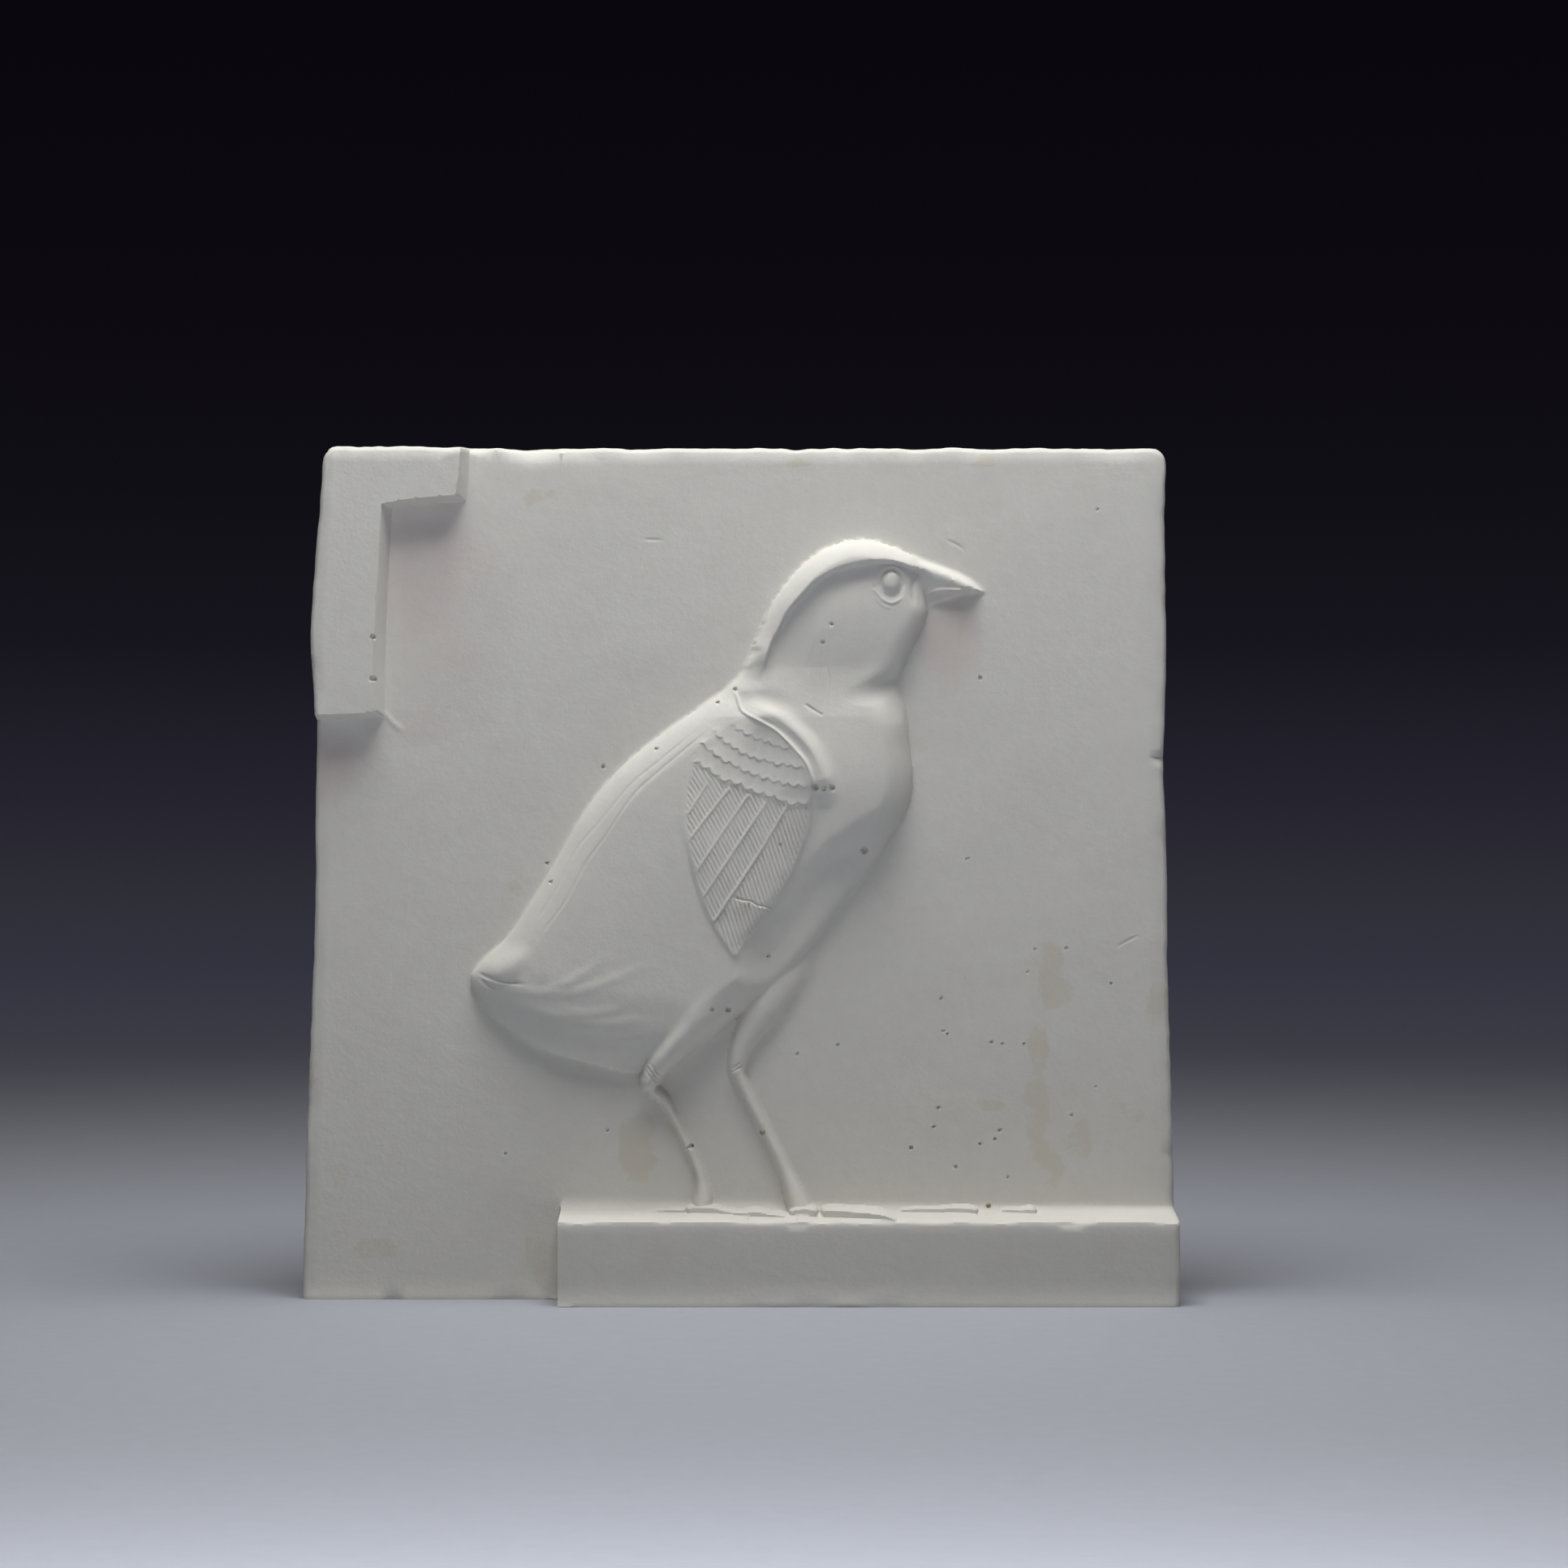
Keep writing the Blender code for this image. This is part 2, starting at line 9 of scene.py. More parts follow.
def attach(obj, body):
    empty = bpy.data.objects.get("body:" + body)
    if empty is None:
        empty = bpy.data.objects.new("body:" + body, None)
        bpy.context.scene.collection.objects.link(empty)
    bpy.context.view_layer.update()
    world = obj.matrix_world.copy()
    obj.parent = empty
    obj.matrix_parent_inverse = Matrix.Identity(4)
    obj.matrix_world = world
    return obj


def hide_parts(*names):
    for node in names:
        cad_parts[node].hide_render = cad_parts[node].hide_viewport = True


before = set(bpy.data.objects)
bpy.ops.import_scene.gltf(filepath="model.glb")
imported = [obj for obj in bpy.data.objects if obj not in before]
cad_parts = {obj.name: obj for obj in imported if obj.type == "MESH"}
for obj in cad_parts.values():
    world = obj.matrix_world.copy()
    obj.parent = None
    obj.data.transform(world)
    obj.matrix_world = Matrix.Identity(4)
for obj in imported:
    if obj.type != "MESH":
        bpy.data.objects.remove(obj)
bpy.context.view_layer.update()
mm = 0.001
farOff = 9.0    # millimetres outside an outline, past which nothing is measured
outsideFall = 1.6    # how fast a form's height drops below the ground outside its outline


# Curves and distances in the plan

def smoothCurve(points, closed=False, steps=6):
    spots = np.array(points, float)
    if closed:
        padded = np.vstack([spots[-1:], spots, spots[:2]])
    elif len(spots) == 2:
        return np.vstack([spots[0] + (spots[1] - spots[0]) * k / steps for k in range(steps + 1)])
    else:
        padded = np.vstack([2 * spots[0] - spots[1], spots, 2 * spots[-1] - spots[-2]])
    t = (np.arange(steps) / steps)[:, None]
    runs = []
    for a, b, c, d in zip(padded, padded[1:], padded[2:], padded[3:]):
        bend = (2 * a - 5 * b + 4 * c - d) * t ** 2 + (3 * b - a - 3 * c + d) * t ** 3
        runs.append(0.5 * (2 * b + (c - a) * t + bend))
    runs.append(spots[:1] if closed else spots[-1:])
    return np.vstack(runs)


def near(spots, line, reach):
    return np.all((spots > line.min(axis=0) - reach) & (spots < line.max(axis=0) + reach), axis=1)


def along(spots, line):
    # distance to the line, millimetres along it, and which side (1 is left of its direction)
    gap = np.full(len(spots), np.inf)
    place = np.zeros(len(spots))
    side = np.ones(len(spots))
    passed = 0.0
    for start, end in zip(line, line[1:]):
        step = end - start
        length = math.hypot(*step)
        away = spots - start
        t = np.clip(away @ step / max(length ** 2, 1e-12), 0, 1)
        reach = np.hypot(*(away - t[:, None] * step).T)
        nearer = reach < gap
        gap[nearer] = reach[nearer]
        place[nearer] = passed + t[nearer] * length
        side[nearer] = np.where(step[0] * away[nearer, 1] - step[1] * away[nearer, 0] >= 0, 1, -1)
        passed += length
    return gap, place, side


def lineLength(line):
    return np.hypot(*np.diff(line, axis=0).T).sum()


def beside(spots, points, reach):
    # the spots near a curve: distance to it, millimetres along it, side, and millimetres left
    line = smoothCurve(points)
    close = near(spots, line, reach)
    gap, place, side = along(spots[close], line)
    return close, gap, place, side, lineLength(line) - place


def outlineOf(shape):
    return smoothCurve(shape["outline"], True)


def depthInside(spots, shape):
    # distance to the outline of a form, positive inside it
    loop = outlineOf(shape)
    depth = np.full(len(spots), -farOff)
    close = near(spots, loop, farOff)
    gap, _, _ = along(spots[close], loop)
    inside = np.zeros(close.sum(), bool)
    x, z = spots[close].T
    for (x0, z0), (x1, z1) in zip(loop, loop[1:]):
        crosses = (z0 > z) != (z1 > z)
        rise = z1 - z0 if z1 != z0 else 1e-12
        inside ^= crosses & (x < x0 + (z - z0) * (x1 - x0) / rise)
    depth[close] = np.where(inside, gap, -gap)
    return depth


def share(value, low, high):
    return np.clip((value - low) / (high - low), 0, 1)


def ramp(value, low, high):
    t = share(value, low, high)
    return t * t * (3 - 2 * t)


def rolled(depth, proud, roll):
    # a form that rolls up from its outline as a quarter ellipse
    t = np.clip(depth / roll, 0, 1)
    return np.where(depth > 0, proud * np.sqrt(1 - (1 - t) ** 2), outsideFall * depth)


def softTop(a, b, blend):
    overlap = np.maximum(blend - np.abs(a - b), 0) / blend
    return np.maximum(a, b) + overlap ** 2 * blend / 4


def softLow(a, b, blend):
    return -softTop(-a, -b, blend)


def swelling(spots, middle, radii, turn, rise):
    angle = math.radians(turn)
    x, z = (spots - middle).T
    across = (x * math.cos(angle) + z * math.sin(angle)) / radii[0]
    upward = (z * math.cos(angle) - x * math.sin(angle)) / radii[1]
    return rise * np.clip(1 - across ** 2 - upward ** 2, 0, 1) ** 2


def ridge(spots, points, width, rise, fade=1.5):
    # rounded ridge along a curve, or a groove if rise is negative, fading out over its ends
    lifted = np.zeros(len(spots))
    close, gap, place, _, left = beside(spots, points, width)
    fading = np.clip(np.minimum(place, left) / fade, 0, 1)
    lifted[close] = rise * fading * np.clip(1 - (gap / width) ** 2, 0, 1) ** 2
    return lifted


def carved(spots, shape, *names):
    # folds and cuts of a form: its cuts give each one's half width, rise and fade
    rise = np.zeros(len(spots))
    for name in names:
        lines = shape[name] if isinstance(shape[name][0], list) else [shape[name]]
        for line in lines:
            rise += ridge(spots, line, *shape["cuts"][name])
    return rise


def limb(spots, points, widths, rises):
    line = smoothCurve(points)
    form = np.full(len(spots), -farOff)
    close = near(spots, line, max(widths) + 3)
    gap, place, _ = along(spots[close], line)
    stops = np.linspace(0, lineLength(line), len(widths))
    half = np.interp(place, stops, widths)
    rise = np.interp(place, stops, rises)
    rounded = rise * np.sqrt(np.clip(1 - (gap / half) ** 2, 0, 1))
    form[close] = np.where(gap < half, rounded, 3 * (half - gap))
    return form


def grainy(spots, size, seed=0.0):
    return np.array([noise.noise((x / size, z / size, seed)) for x, z in spots])


def unevenness(spots, layers):
    # noise in layers, each with its height, grain size and seed
    return sum(height * grainy(spots, size, seed) for height, size, seed in layers)


def oneWay(value):
    return np.column_stack([value, value * 0])


# Slab, ledge and border

slab = {
    "width": 176.9, "height": 172.7, "thick": 25.0, "cornerRadius": 3.2, "edgeReach": 22.0,
    "rounding": 1.4, "footRounding": 0.2, "flare": 0.6, "flareReach": 1.3,
    # layers of wear on the front edges, the sides and the top: height, grain size and seed
    "edgeWear": [(0.45, 9.0, 3.0), (0.25, 3.0, 8.0)], "sideWear": [(0.25, 6.0, 2.0)],
    "topWear": [(0.35, 8.0, 4.0), (0.2, 2.6, 6.0)], "topLoss": 0.25, "topReach": 5.0, "cleanFoot": 6.0,
    # share of the height, and how far the side is drawn in there
    "left": [(0.0, 0.0), (0.14, 0.6), (0.28, 1.4), (0.47, 2.6), (0.58, 2.6),
             (0.69, 3.0), (0.77, 2.2), (0.86, 3.0), (0.95, 4.3), (1.0, 4.7)],
    "right": [(0.0, 0.0), (0.11, 0.0), (0.25, 0.6), (0.39, 1.3), (0.52, 1.5),
              (0.63, 2.2), (0.68, 1.9), (0.77, 1.6), (0.9, 1.9), (1.0, 1.6)],
}
ledge = {
    "left": -35.05, "leftFoot": -36.2, "end": 1.2, "endTop": 17.0, "endWall": 99.0, "proud": 12.0,
    "back": 18.0, "front": 16.95, "lean": 0.7, "leanHeight": 14.0, "rounding": 1.5,
    "lip": 0.4, "lipReach": 0.9, "wear": [(0.22, 14.0, 1.0), (0.12, 4.0, 2.5)],
    # the cove's upper border, how fast it sinks to the right, and how proud it is at each x
    "cove": 21.0, "coveSink": 0.02, "coveProud": ([-36.0, -10.0, 20.0], [2.0, 1.7, 1.3]), "coveBlend": 1.0,
    # ragged lower border of the front
    "burr": [(0.0, 1.1), (8.0, 0.8), (15.0, 1.0), (22.0, 0.7), (30.0, 1.0), (36.0, 0.8)],
    "cuts": {"burr": (0.6, 0.3, 5)},
}
border = {
    "proud": 4.8, "cuts": {"footRidge": (0.7, 0.18, 6), "cornerSpike": (0.9, 0.4, 2)},
    "footRidge": [(-70.3, 143.0), (-70.0, 136.0), (-69.6, 128.0), (-69.3, 118.0)],
    "cornerSpike": [(-73.0, 119.5), (-70.5, 116.8), (-67.6, 114.9)],
    "uprightCrest": [(-73.1, 159.9), (-73.4, 150.0), (-74.0, 137.0), (-74.6, 126.0), (-74.6, 118.9)],
    "uprightFoot": [(-71.1, 158.4), (-71.4, 150.0), (-71.9, 137.0), (-72.3, 126.0), (-72.4, 117.3)],
    "topCrest": [(-73.1, 160.9), (-68.0, 161.7), (-62.0, 162.3), (-57.0, 162.7)],
    "topFoot": [(-73.1, 159.9), (-66.0, 160.8), (-60.0, 161.3), (-55.4, 161.5)],
    "endCrest": [(-57.0, 162.3), (-56.3, 167.0), (-55.9, 173.0)],
    "endFoot": [(-55.3, 160.6), (-54.7, 166.0), (-54.4, 173.0)],
    "lowCrest": [(-88.5, 118.4), (-80.0, 118.6), (-76.0, 118.8), (-74.2, 119.2)],
    "lowFoot": [(-88.5, 117.4), (-80.0, 117.6), (-75.0, 117.8), (-71.4, 117.5)],
}


def sloped(spots, name, way):
    # 0 at a foot line and 1 at its crest line, both read at the same x (way 0) or z (way 1)
    lines = [np.array(sorted(border[name + part], key=lambda spot: spot[way])) for part in ("Foot", "Crest")]
    low, high = (np.interp(spots[:, way], line[:, way], line[:, 1 - way]) for line in lines)
    return share(spots[:, 1 - way], low, high)


def borderHeight(spots):
    upright = np.minimum(sloped(spots, "upright", 1), sloped(spots, "low", 0))
    top = np.minimum(sloped(spots, "top", 0), sloped(spots, "end", 1))
    return border["proud"] * np.maximum(upright, top) + carved(spots, border, "footRidge", "cornerSpike")


def ledgeHeight(spots):
    # a nearly level top that runs up into the slab in a cove, and a front that leans back a little
    x, z = spots.T
    back, front = ledge["back"], ledge["front"]
    end = np.clip((x - ledge["leftFoot"]) / ledge["end"], 0, 1)
    worn = unevenness(oneWay(x), ledge["wear"])
    fall = ledge["proud"] * (back + worn - z) / (back - front)
    top = ledge["cove"] - ledge["coveSink"] * np.maximum(x, 0)
    cove = np.interp(x, *ledge["coveProud"]) * np.clip((top - z) / (top - back), 0, 2) ** 2
    face = ledge["proud"] - ledge["lean"] * np.clip((front - z) / ledge["leanHeight"], 0, 1)
    face -= ledge["lip"] * np.exp(-np.maximum(front + worn - z, 0) / ledge["lipReach"])
    face += carved(spots, ledge, "burr")
    form = softLow(softTop(fall, cove, ledge["coveBlend"]), face, ledge["rounding"])
    return np.minimum(form, ledge["endWall"] * end)


# Bird

body = {
    "backProud": 4.4, "breastProud": 3.9, "backRoll": 6.6, "breastRoll": 5.6,
    "backSwell": 1.9, "swellReach": 27.0, "backPoints": 10, "neckBlend": 3.5,
    # x over which the back turns into the breast, z over which the body turns into the head
    "forward": (-6.0, 18.0), "upper": (118.0, 128.0),
    "outline": [
        (-1.0, 123.6), (-9.0, 119.1), (-18.2, 112.5), (-25.0, 106.6), (-31.7, 98.2), (-36.7, 89.5),
        (-41.8, 81.1), (-46.9, 73.5), (-51.8, 68.9), (-54.2, 65.2), (-53.2, 61.1), (-48.1, 56.0),
        (-40.1, 50.9), (-30.9, 48.1), (-20.7, 46.0), (-9.5, 50.1), (0.0, 57.4), (11.6, 67.6),
        (19.6, 78.0), (24.6, 84.5), (29.7, 91.3), (34.3, 99.3), (35.3, 105.4), (34.8, 111.5),
        (33.5, 121.0), (29.5, 124.8), (16.3, 125.6)],
    "underside": [(-54.2, 65.2), (-52.4, 60.2), (-46.6, 55.0), (-37.0, 50.0), (-27.5, 47.6), (-18.0, 46.8)],
    "undersideStart": 1.9, "undersideRise": 4.5, "undersideReach": 15.0, "undersideBand": 34.0,
    "undersideEnd": 0.7, "undersideEndRise": 12.0, "tuckBlend": 1.4,
    "lowerBreast": [(35.2, 102.0), (34.3, 99.3), (29.7, 91.3), (24.6, 84.5), (19.6, 78.0), (11.6, 67.6)],
    "breastStart": 2.4, "breastSlope": 0.12, "breastBand": 22.0, "breastFlat": 4.5, "breastCurve": 0.06,
    "breastTop": 86.0, "topCurve": 0.02,
    # middle, radii, turn, rise
    "swellings": [
        ((22.5, 138.0), (15.0, 16.0), 0, 1.0),
        ((21.0, 104.0), (17.0, 21.0), 0, 1.7),
        ((32.5, 121.5), (8.0, 6.0), 0, -1.0),
        ((-47.0, 67.6), (7.0, 3.6), 38, 0.85),
    ],
    "backLines": [
        [(-5.2, 115.8), (-11.4, 110.8), (-17.3, 105.8), (-20.8, 102.5), (-24.1, 97.9), (-26.5, 94.1),
         (-30.0, 89.5), (-32.4, 85.2), (-34.9, 80.6), (-37.9, 76.5), (-40.8, 72.8)],
        [(-8.1, 115.4), (-15.7, 109.2), (-21.6, 104.3), (-27.3, 97.4), (-32.4, 91.5), (-35.7, 84.9),
         (-39.2, 79.0), (-42.1, 74.4)],
    ],
    "tailFolds": [
        [(-48.0, 63.7), (-40.0, 62.6), (-33.4, 64.8), (-25.4, 70.3)],
        [(-42.9, 61.9), (-33.4, 62.3), (-24.7, 65.2), (-18.1, 68.1)],
        [(-40.0, 58.6), (-28.3, 58.3), (-19.6, 60.8)],
        [(-45.8, 60.1), (-35.6, 57.2), (-26.1, 56.1), (-16.7, 57.2)],
        [(-40.7, 56.5), (-33.4, 54.3), (-24.7, 52.8), (-16.7, 54.3)],
        [(-35.6, 52.1), (-28.3, 50.6), (-21.0, 50.6)],
    ],
    "tailCreases": [
        [(-53.1, 66.3), (-48.0, 64.8), (-42.9, 64.1)],
        [(-52.7, 65.6), (-50.9, 64.1), (-48.7, 62.9)],
    ],
    "cuts": {"backLines": (0.33, -0.12, 6), "tailFolds": (1.6, 0.14, 7), "tailCreases": (0.6, -0.35, 2)},
}
head = {
    "roll": 4.6, "napeRoll": 3.2, "napeDrop": 1.1, "napeAcross": (16.0, 8.0), "napeUp": (148.0, 134.0),
    "outline": [
        (-1.2, 122.3), (1.2, 127.8), (4.0, 134.3), (7.6, 142.2), (14.0, 149.6), (20.9, 153.3),
        (27.2, 153.6), (33.0, 151.7), (36.6, 149.3), (37.6, 144.0), (38.2, 138.2), (34.9, 131.1),
        (31.3, 124.6), (19.0, 115.5), (5.4, 117.0)],
    "hoodBorder": [
        (3.9, 125.0), (4.5, 127.1), (6.3, 132.8), (7.9, 135.8), (9.7, 139.4), (13.2, 143.3), (15.8, 145.9),
        (19.4, 147.9), (23.8, 149.2), (27.3, 149.7), (30.1, 149.8), (33.2, 149.2), (35.2, 148.4)],
    "hoodRise": 0.8, "hoodStep": 0.9, "hoodSteep": 1.0, "steepFrom": 3.6, "hoodStart": 7.0, "hoodReach": 8.0,
    "hollow": 0.3, "hollowBelow": 3.7, "hollowWidth": 2.7, "hollowEdge": (-0.4, 0.8),
    "neckLines": [
        [(18.3, 135.1), (18.1, 131.5), (17.9, 127.7), (18.3, 125.6), (17.8, 122.1), (17.4, 119.7)],
        [(15.8, 133.9), (14.8, 130.1), (14.2, 125.6)],
        [(16.9, 133.5), (16.4, 129.0), (16.2, 125.0)],
    ],
    "neckStroke": [(13.5, 120.5), (15.3, 119.3), (17.1, 118.2)],
    "nape": [((2.6, 131.0), (3.0, 1.3), 10, -0.5), ((1.2, 128.6), (2.2, 1.2), 0, 0.35)],
    "throat": [(27.5, 124.4), (31.0, 124.7), (33.4, 126.0)],
    "cuts": {"neckLines": (0.3, -0.12), "neckStroke": (0.35, -0.3, 0.3), "throat": (1.6, -0.12)},
}
beak = {
    "outline": [(35.0, 150.6), (37.8, 149.8), (41.2, 148.6), (44.2, 147.4), (47.1, 145.9), (49.9, 143.4),
                (47.0, 142.9), (44.0, 142.3), (41.0, 141.8), (38.3, 141.0), (35.4, 145.4)],
    "culmen": [(34.0, 151.6), (37.8, 149.8), (41.2, 148.6), (44.2, 147.4), (47.1, 145.9), (49.9, 143.4)],
    # the bill rises to its ridge below the upper outline and falls gently from there
    "ridgeBelow": 2.0, "ridgeRise": 2.9, "ridgeRound": 1.7, "fall": 0.42, "edge": 2.2, "edgeBlend": 0.5,
    "blend": 0.9,
    "mouth": [(38.1, 142.9), (39.6, 143.4), (40.9, 143.7), (43.4, 143.7), (45.9, 143.4), (48.3, 142.9)],
    "underMouth": [(38.7, 142.2), (41.0, 142.8), (44.0, 142.8), (46.6, 142.7)],
    "base": [(36.2, 147.2), (35.3, 145.0), (35.2, 142.6), (35.6, 140.2)],
    "baseStrip": [(37.7, 147.4), (36.9, 144.6), (37.0, 141.8)],
    "cere": ((36.6, 148.1), (1.9, 1.5), -20, 0.5),
    "cuts": {"mouth": (0.4, 0.34), "underMouth": (0.55, -0.3), "base": (0.7, -0.4), "baseStrip": (0.8, 0.25)},
}
eye = {
    "middle": (30.9, 145.0), "socket": (4.4, 4.2), "socketDepth": 0.3,
    "ball": (1.9, 2.3), "ballRise": 1.15, "ballSteep": 2.0, "ballTilt": 0.12, "tiltOver": 0.6,
    "ringAt": 1.22, "ringWidth": 0.22, "ringDepth": 0.2,
    "upperLid": [(28.4, 146.9), (29.5, 147.9), (31.1, 148.3), (32.6, 147.7), (33.4, 146.3), (33.6, 144.5)],
    "lowerLid": [(26.6, 144.1), (28.0, 142.9), (29.0, 141.7), (30.6, 140.9), (32.0, 141.2), (33.4, 142.3)],
    "corner": [(29.0, 145.0), (28.0, 144.3), (26.6, 143.8)],
    "under": [(27.3, 142.4), (29.2, 140.4), (31.4, 139.6)],
    "brow": [(27.6, 148.4), (29.4, 148.8), (31.4, 148.7), (33.2, 148.2), (34.4, 147.2)],
    "cuts": {"upperLid": (0.42, 0.26), "lowerLid": (0.42, 0.2), "corner": (0.5, -0.25), "under": (0.5, 0.1),
             "brow": (0.45, -0.2)},
}


def hoodHeight(spots, depth):
    # the hood of the crown stands steeply over the side of the head, with a hollow under it
    close, gap, place, side, _ = beside(spots, head["hoodBorder"], head["hoodReach"])
    start = ramp(place, 0.0, head["hoodStart"])
    above = gap * side
    steep = head["hoodSteep"] * np.clip(depth[close] / head["steepFrom"], 0, 1)
    step = head["hoodStep"]
    below = (-above - head["hollowBelow"]) / head["hollowWidth"]
    hood = np.zeros(len(spots))
    hood[close] = start * (head["hoodRise"] + steep) * ramp(above, -step * 1.1, -step * 0.1)
    hood[close] -= start * head["hollow"] * np.exp(-below ** 2) * ramp(-above, *head["hollowEdge"])
    return hood


def beakHeight(spots):
    depth = depthInside(spots, beak)
    below = along(spots, smoothCurve(beak["culmen"]))[0]
    t = np.clip(below / beak["ridgeBelow"], 0, 1)
    form = beak["ridgeRise"] * (1 - (1 - t) ** beak["ridgeRound"])
    form -= beak["fall"] * np.maximum(below - beak["ridgeBelow"], 0)
    form = softLow(form, beak["edge"] * depth, beak["edgeBlend"])
    return np.where(depth > 0, form, outsideFall * depth) + carved(spots, beak, "mouth", "underMouth")


def faceHeight(spots):
    rise = carved(spots, beak, "base", "baseStrip") + carved(spots, head, "neckLines", "neckStroke", "throat")
    return rise + sum(swelling(spots, *mound) for mound in [beak["cere"], *head["nape"]])


def eyeHeight(spots):
    rise = swelling(spots, eye["middle"], eye["socket"], 0, -eye["socketDepth"])
    x, z = (spots - eye["middle"]).T
    reach = np.hypot(x / eye["ball"][0], z / eye["ball"][1])
    dome = np.sqrt(np.clip(1 - reach ** 2, 0, 1))
    rise += np.minimum(eye["ballRise"], eye["ballSteep"] * dome) * dome
    rise += eye["ballTilt"] * z * ramp(dome, 0, eye["tiltOver"])
    rise -= eye["ringDepth"] * np.exp(-((reach - eye["ringAt"]) / eye["ringWidth"]) ** 2)
    return rise + carved(spots, eye, "upperLid", "lowerLid", "corner", "under", "brow")


wing = {
    "outline": [
        (-0.7, 123.0), (0.5, 119.7), (1.6, 118.6), (4.9, 116.8), (7.5, 115.3), (9.9, 113.1),
        (11.7, 111.1), (13.2, 109.4), (14.1, 107.8), (14.8, 105.8), (15.1, 104.1), (15.1, 101.2),
        (14.6, 98.2), (13.9, 95.0), (12.9, 91.4), (11.5, 87.6), (9.6, 83.8), (7.4, 80.2),
        (5.2, 77.0), (2.9, 74.0), (1.0, 71.6), (-0.6, 69.6), (-3.3, 73.2), (-5.8, 77.6),
        (-7.6, 81.9), (-9.1, 87.1), (-10.1, 92.2), (-10.9, 97.1), (-10.6, 103.0), (-9.0, 109.0),
        (-6.0, 114.5)],
    "rise": 0.55, "step": 0.9, "softStep": 3.5, "mergeLoss": 0.8,
    # z over which the back edge is lost, counted up a slant from the back, and x over which it is
    "mergeUp": (90.0, 104.0), "mergeSlant": 0.6, "mergeFrom": -10.0, "mergeAcross": (6.0, 0.0),
    # the shoulder's step: rise, width, fade at its two ends, and how it levels off behind
    "shoulderRise": 1.45, "shoulderWidth": 2.9, "shoulderFades": (4.0, 6.0), "shoulderLevel": (1.0, 3.5),
    "shoulderReach": 14.0,
    "frontEdge": [
        (-0.7, 123.2), (-0.1, 121.6), (0.5, 119.7), (1.6, 118.6), (4.9, 116.8), (7.5, 115.3),
        (9.9, 113.1), (11.7, 111.1), (13.2, 109.4), (14.1, 107.8), (14.8, 105.8), (15.0, 104.3)],
    "groove": [(5.4, 117.7), (7.6, 116.5), (10.7, 114.1), (13.2, 111.4), (14.8, 108.8), (15.8, 106.4),
               (16.2, 104.6)],
    # crest of the shoulder's bright rim, below which the groove runs
    "rim": [(1.4, 120.6), (4.6, 119.2), (8.0, 117.6), (12.0, 114.4), (14.6, 111.4), (16.2, 108.3),
            (17.3, 105.6), (17.8, 102.6), (17.7, 99.5)],
    "hollow": [(16.9, 102.8), (16.4, 98.7), (15.4, 93.8), (13.7, 88.9), (11.2, 85.0), (9.0, 81.5),
               (7.2, 78.8), (5.3, 76.2), (3.0, 73.4), (0.2, 70.4)],
    # each row of short feathers: its lower border, feather width, rise of its lip
    "rows": [
        ([(-1.5, 117.0), (-0.1, 115.9), (1.6, 114.9), (3.8, 113.9), (6.4, 113.0), (8.2, 112.3),
          (10.6, 111.6)], 2.0, 0.18),
        ([(-5.0, 115.8), (-3.0, 113.6), (-0.6, 112.0), (1.6, 110.7), (3.8, 109.8), (6.0, 109.4),
          (7.8, 108.7), (9.5, 108.6), (11.5, 108.2), (13.7, 107.9)], 1.9, 0.24),
        ([(-7.5, 113.2), (-5.6, 111.6), (-4.3, 110.7), (-3.0, 109.6), (-0.6, 108.6), (1.6, 107.3),
          (3.4, 106.7), (5.6, 105.8), (8.9, 104.9), (11.1, 104.5), (14.3, 104.2)], 2.1, 0.26),
        ([(-8.8, 109.5), (-7.1, 108.6), (-5.2, 107.4), (-3.2, 105.9), (0.1, 104.8), (2.7, 103.6),
          (6.0, 102.6), (8.8, 101.7), (10.6, 100.9), (12.6, 100.9), (14.3, 101.2)], 2.4, 0.28),
    ],
    # shafts of the long feathers, from the upper right
    "shafts": [
        [(-6.3, 104.3), (-9.9, 98.7)],
        [(-2.0, 103.3), (-8.8, 94.5), (-12.0, 90.0)],
        [(1.9, 102.0), (-6.5, 89.7), (-10.0, 84.0)],
        [(6.3, 101.7), (-5.5, 84.0), (-8.0, 80.0)],
        [(10.1, 100.4), (4.0, 90.2), (-2.3, 80.7), (-6.0, 75.0)],
    ],
    "scallop": 0.32, "rowReach": 4.0, "rowGrain": 1.6, "rowSeed": 11.0, "rowShift": 0.5, "rowFade": 0.6,
    "lipStep": 0.12, "lipLength": 0.8, "lipUneven": (0.85, 0.9),
    # notch between two feathers of a row: depth, width as a share, length
    "notch": (0.1, 0.16, 0.55),
    "barbPeriod": 0.82, "barbDepth": 0.19, "barbOrigin": (2.0, 92.0), "barbUneven": (0.6, 4.0, 21.0),
    "shaftHalf": 0.3, "shaftRise": 0.35, "barbEdge": (0.3, 0.9), "barbsBelow": (0.9, 1.4), "barbSteep": 0.55,
    # slant of the barbs in each feather, from the back of the wing to its front
    "barbSlants": [58.0, 60.0, 62.0, 63.0, 65.0, 72.0],
    "frontLine": [(14.8, 101.5), (13.8, 95.8), (12.0, 91.7), (11.0, 89.2), (10.2, 87.7)],
    "crack": [(-0.8, 81.7), (1.0, 81.1), (2.7, 80.9), (3.6, 80.2), (5.0, 79.9), (7.2, 79.3)],
    "flapRise": 0.45, "flapLength": 1.6, "flapReach": 5.0, "flapStep": 0.3, "flapFade": 1.5,
    "cuts": {"groove": (1.1, -0.35, 6), "frontEdge": (0.45, 0.4), "hollow": (2.8, -0.5, 4),
             "frontLine": (0.32, -0.15), "crack": (0.35, -0.45, 0.8)},
}


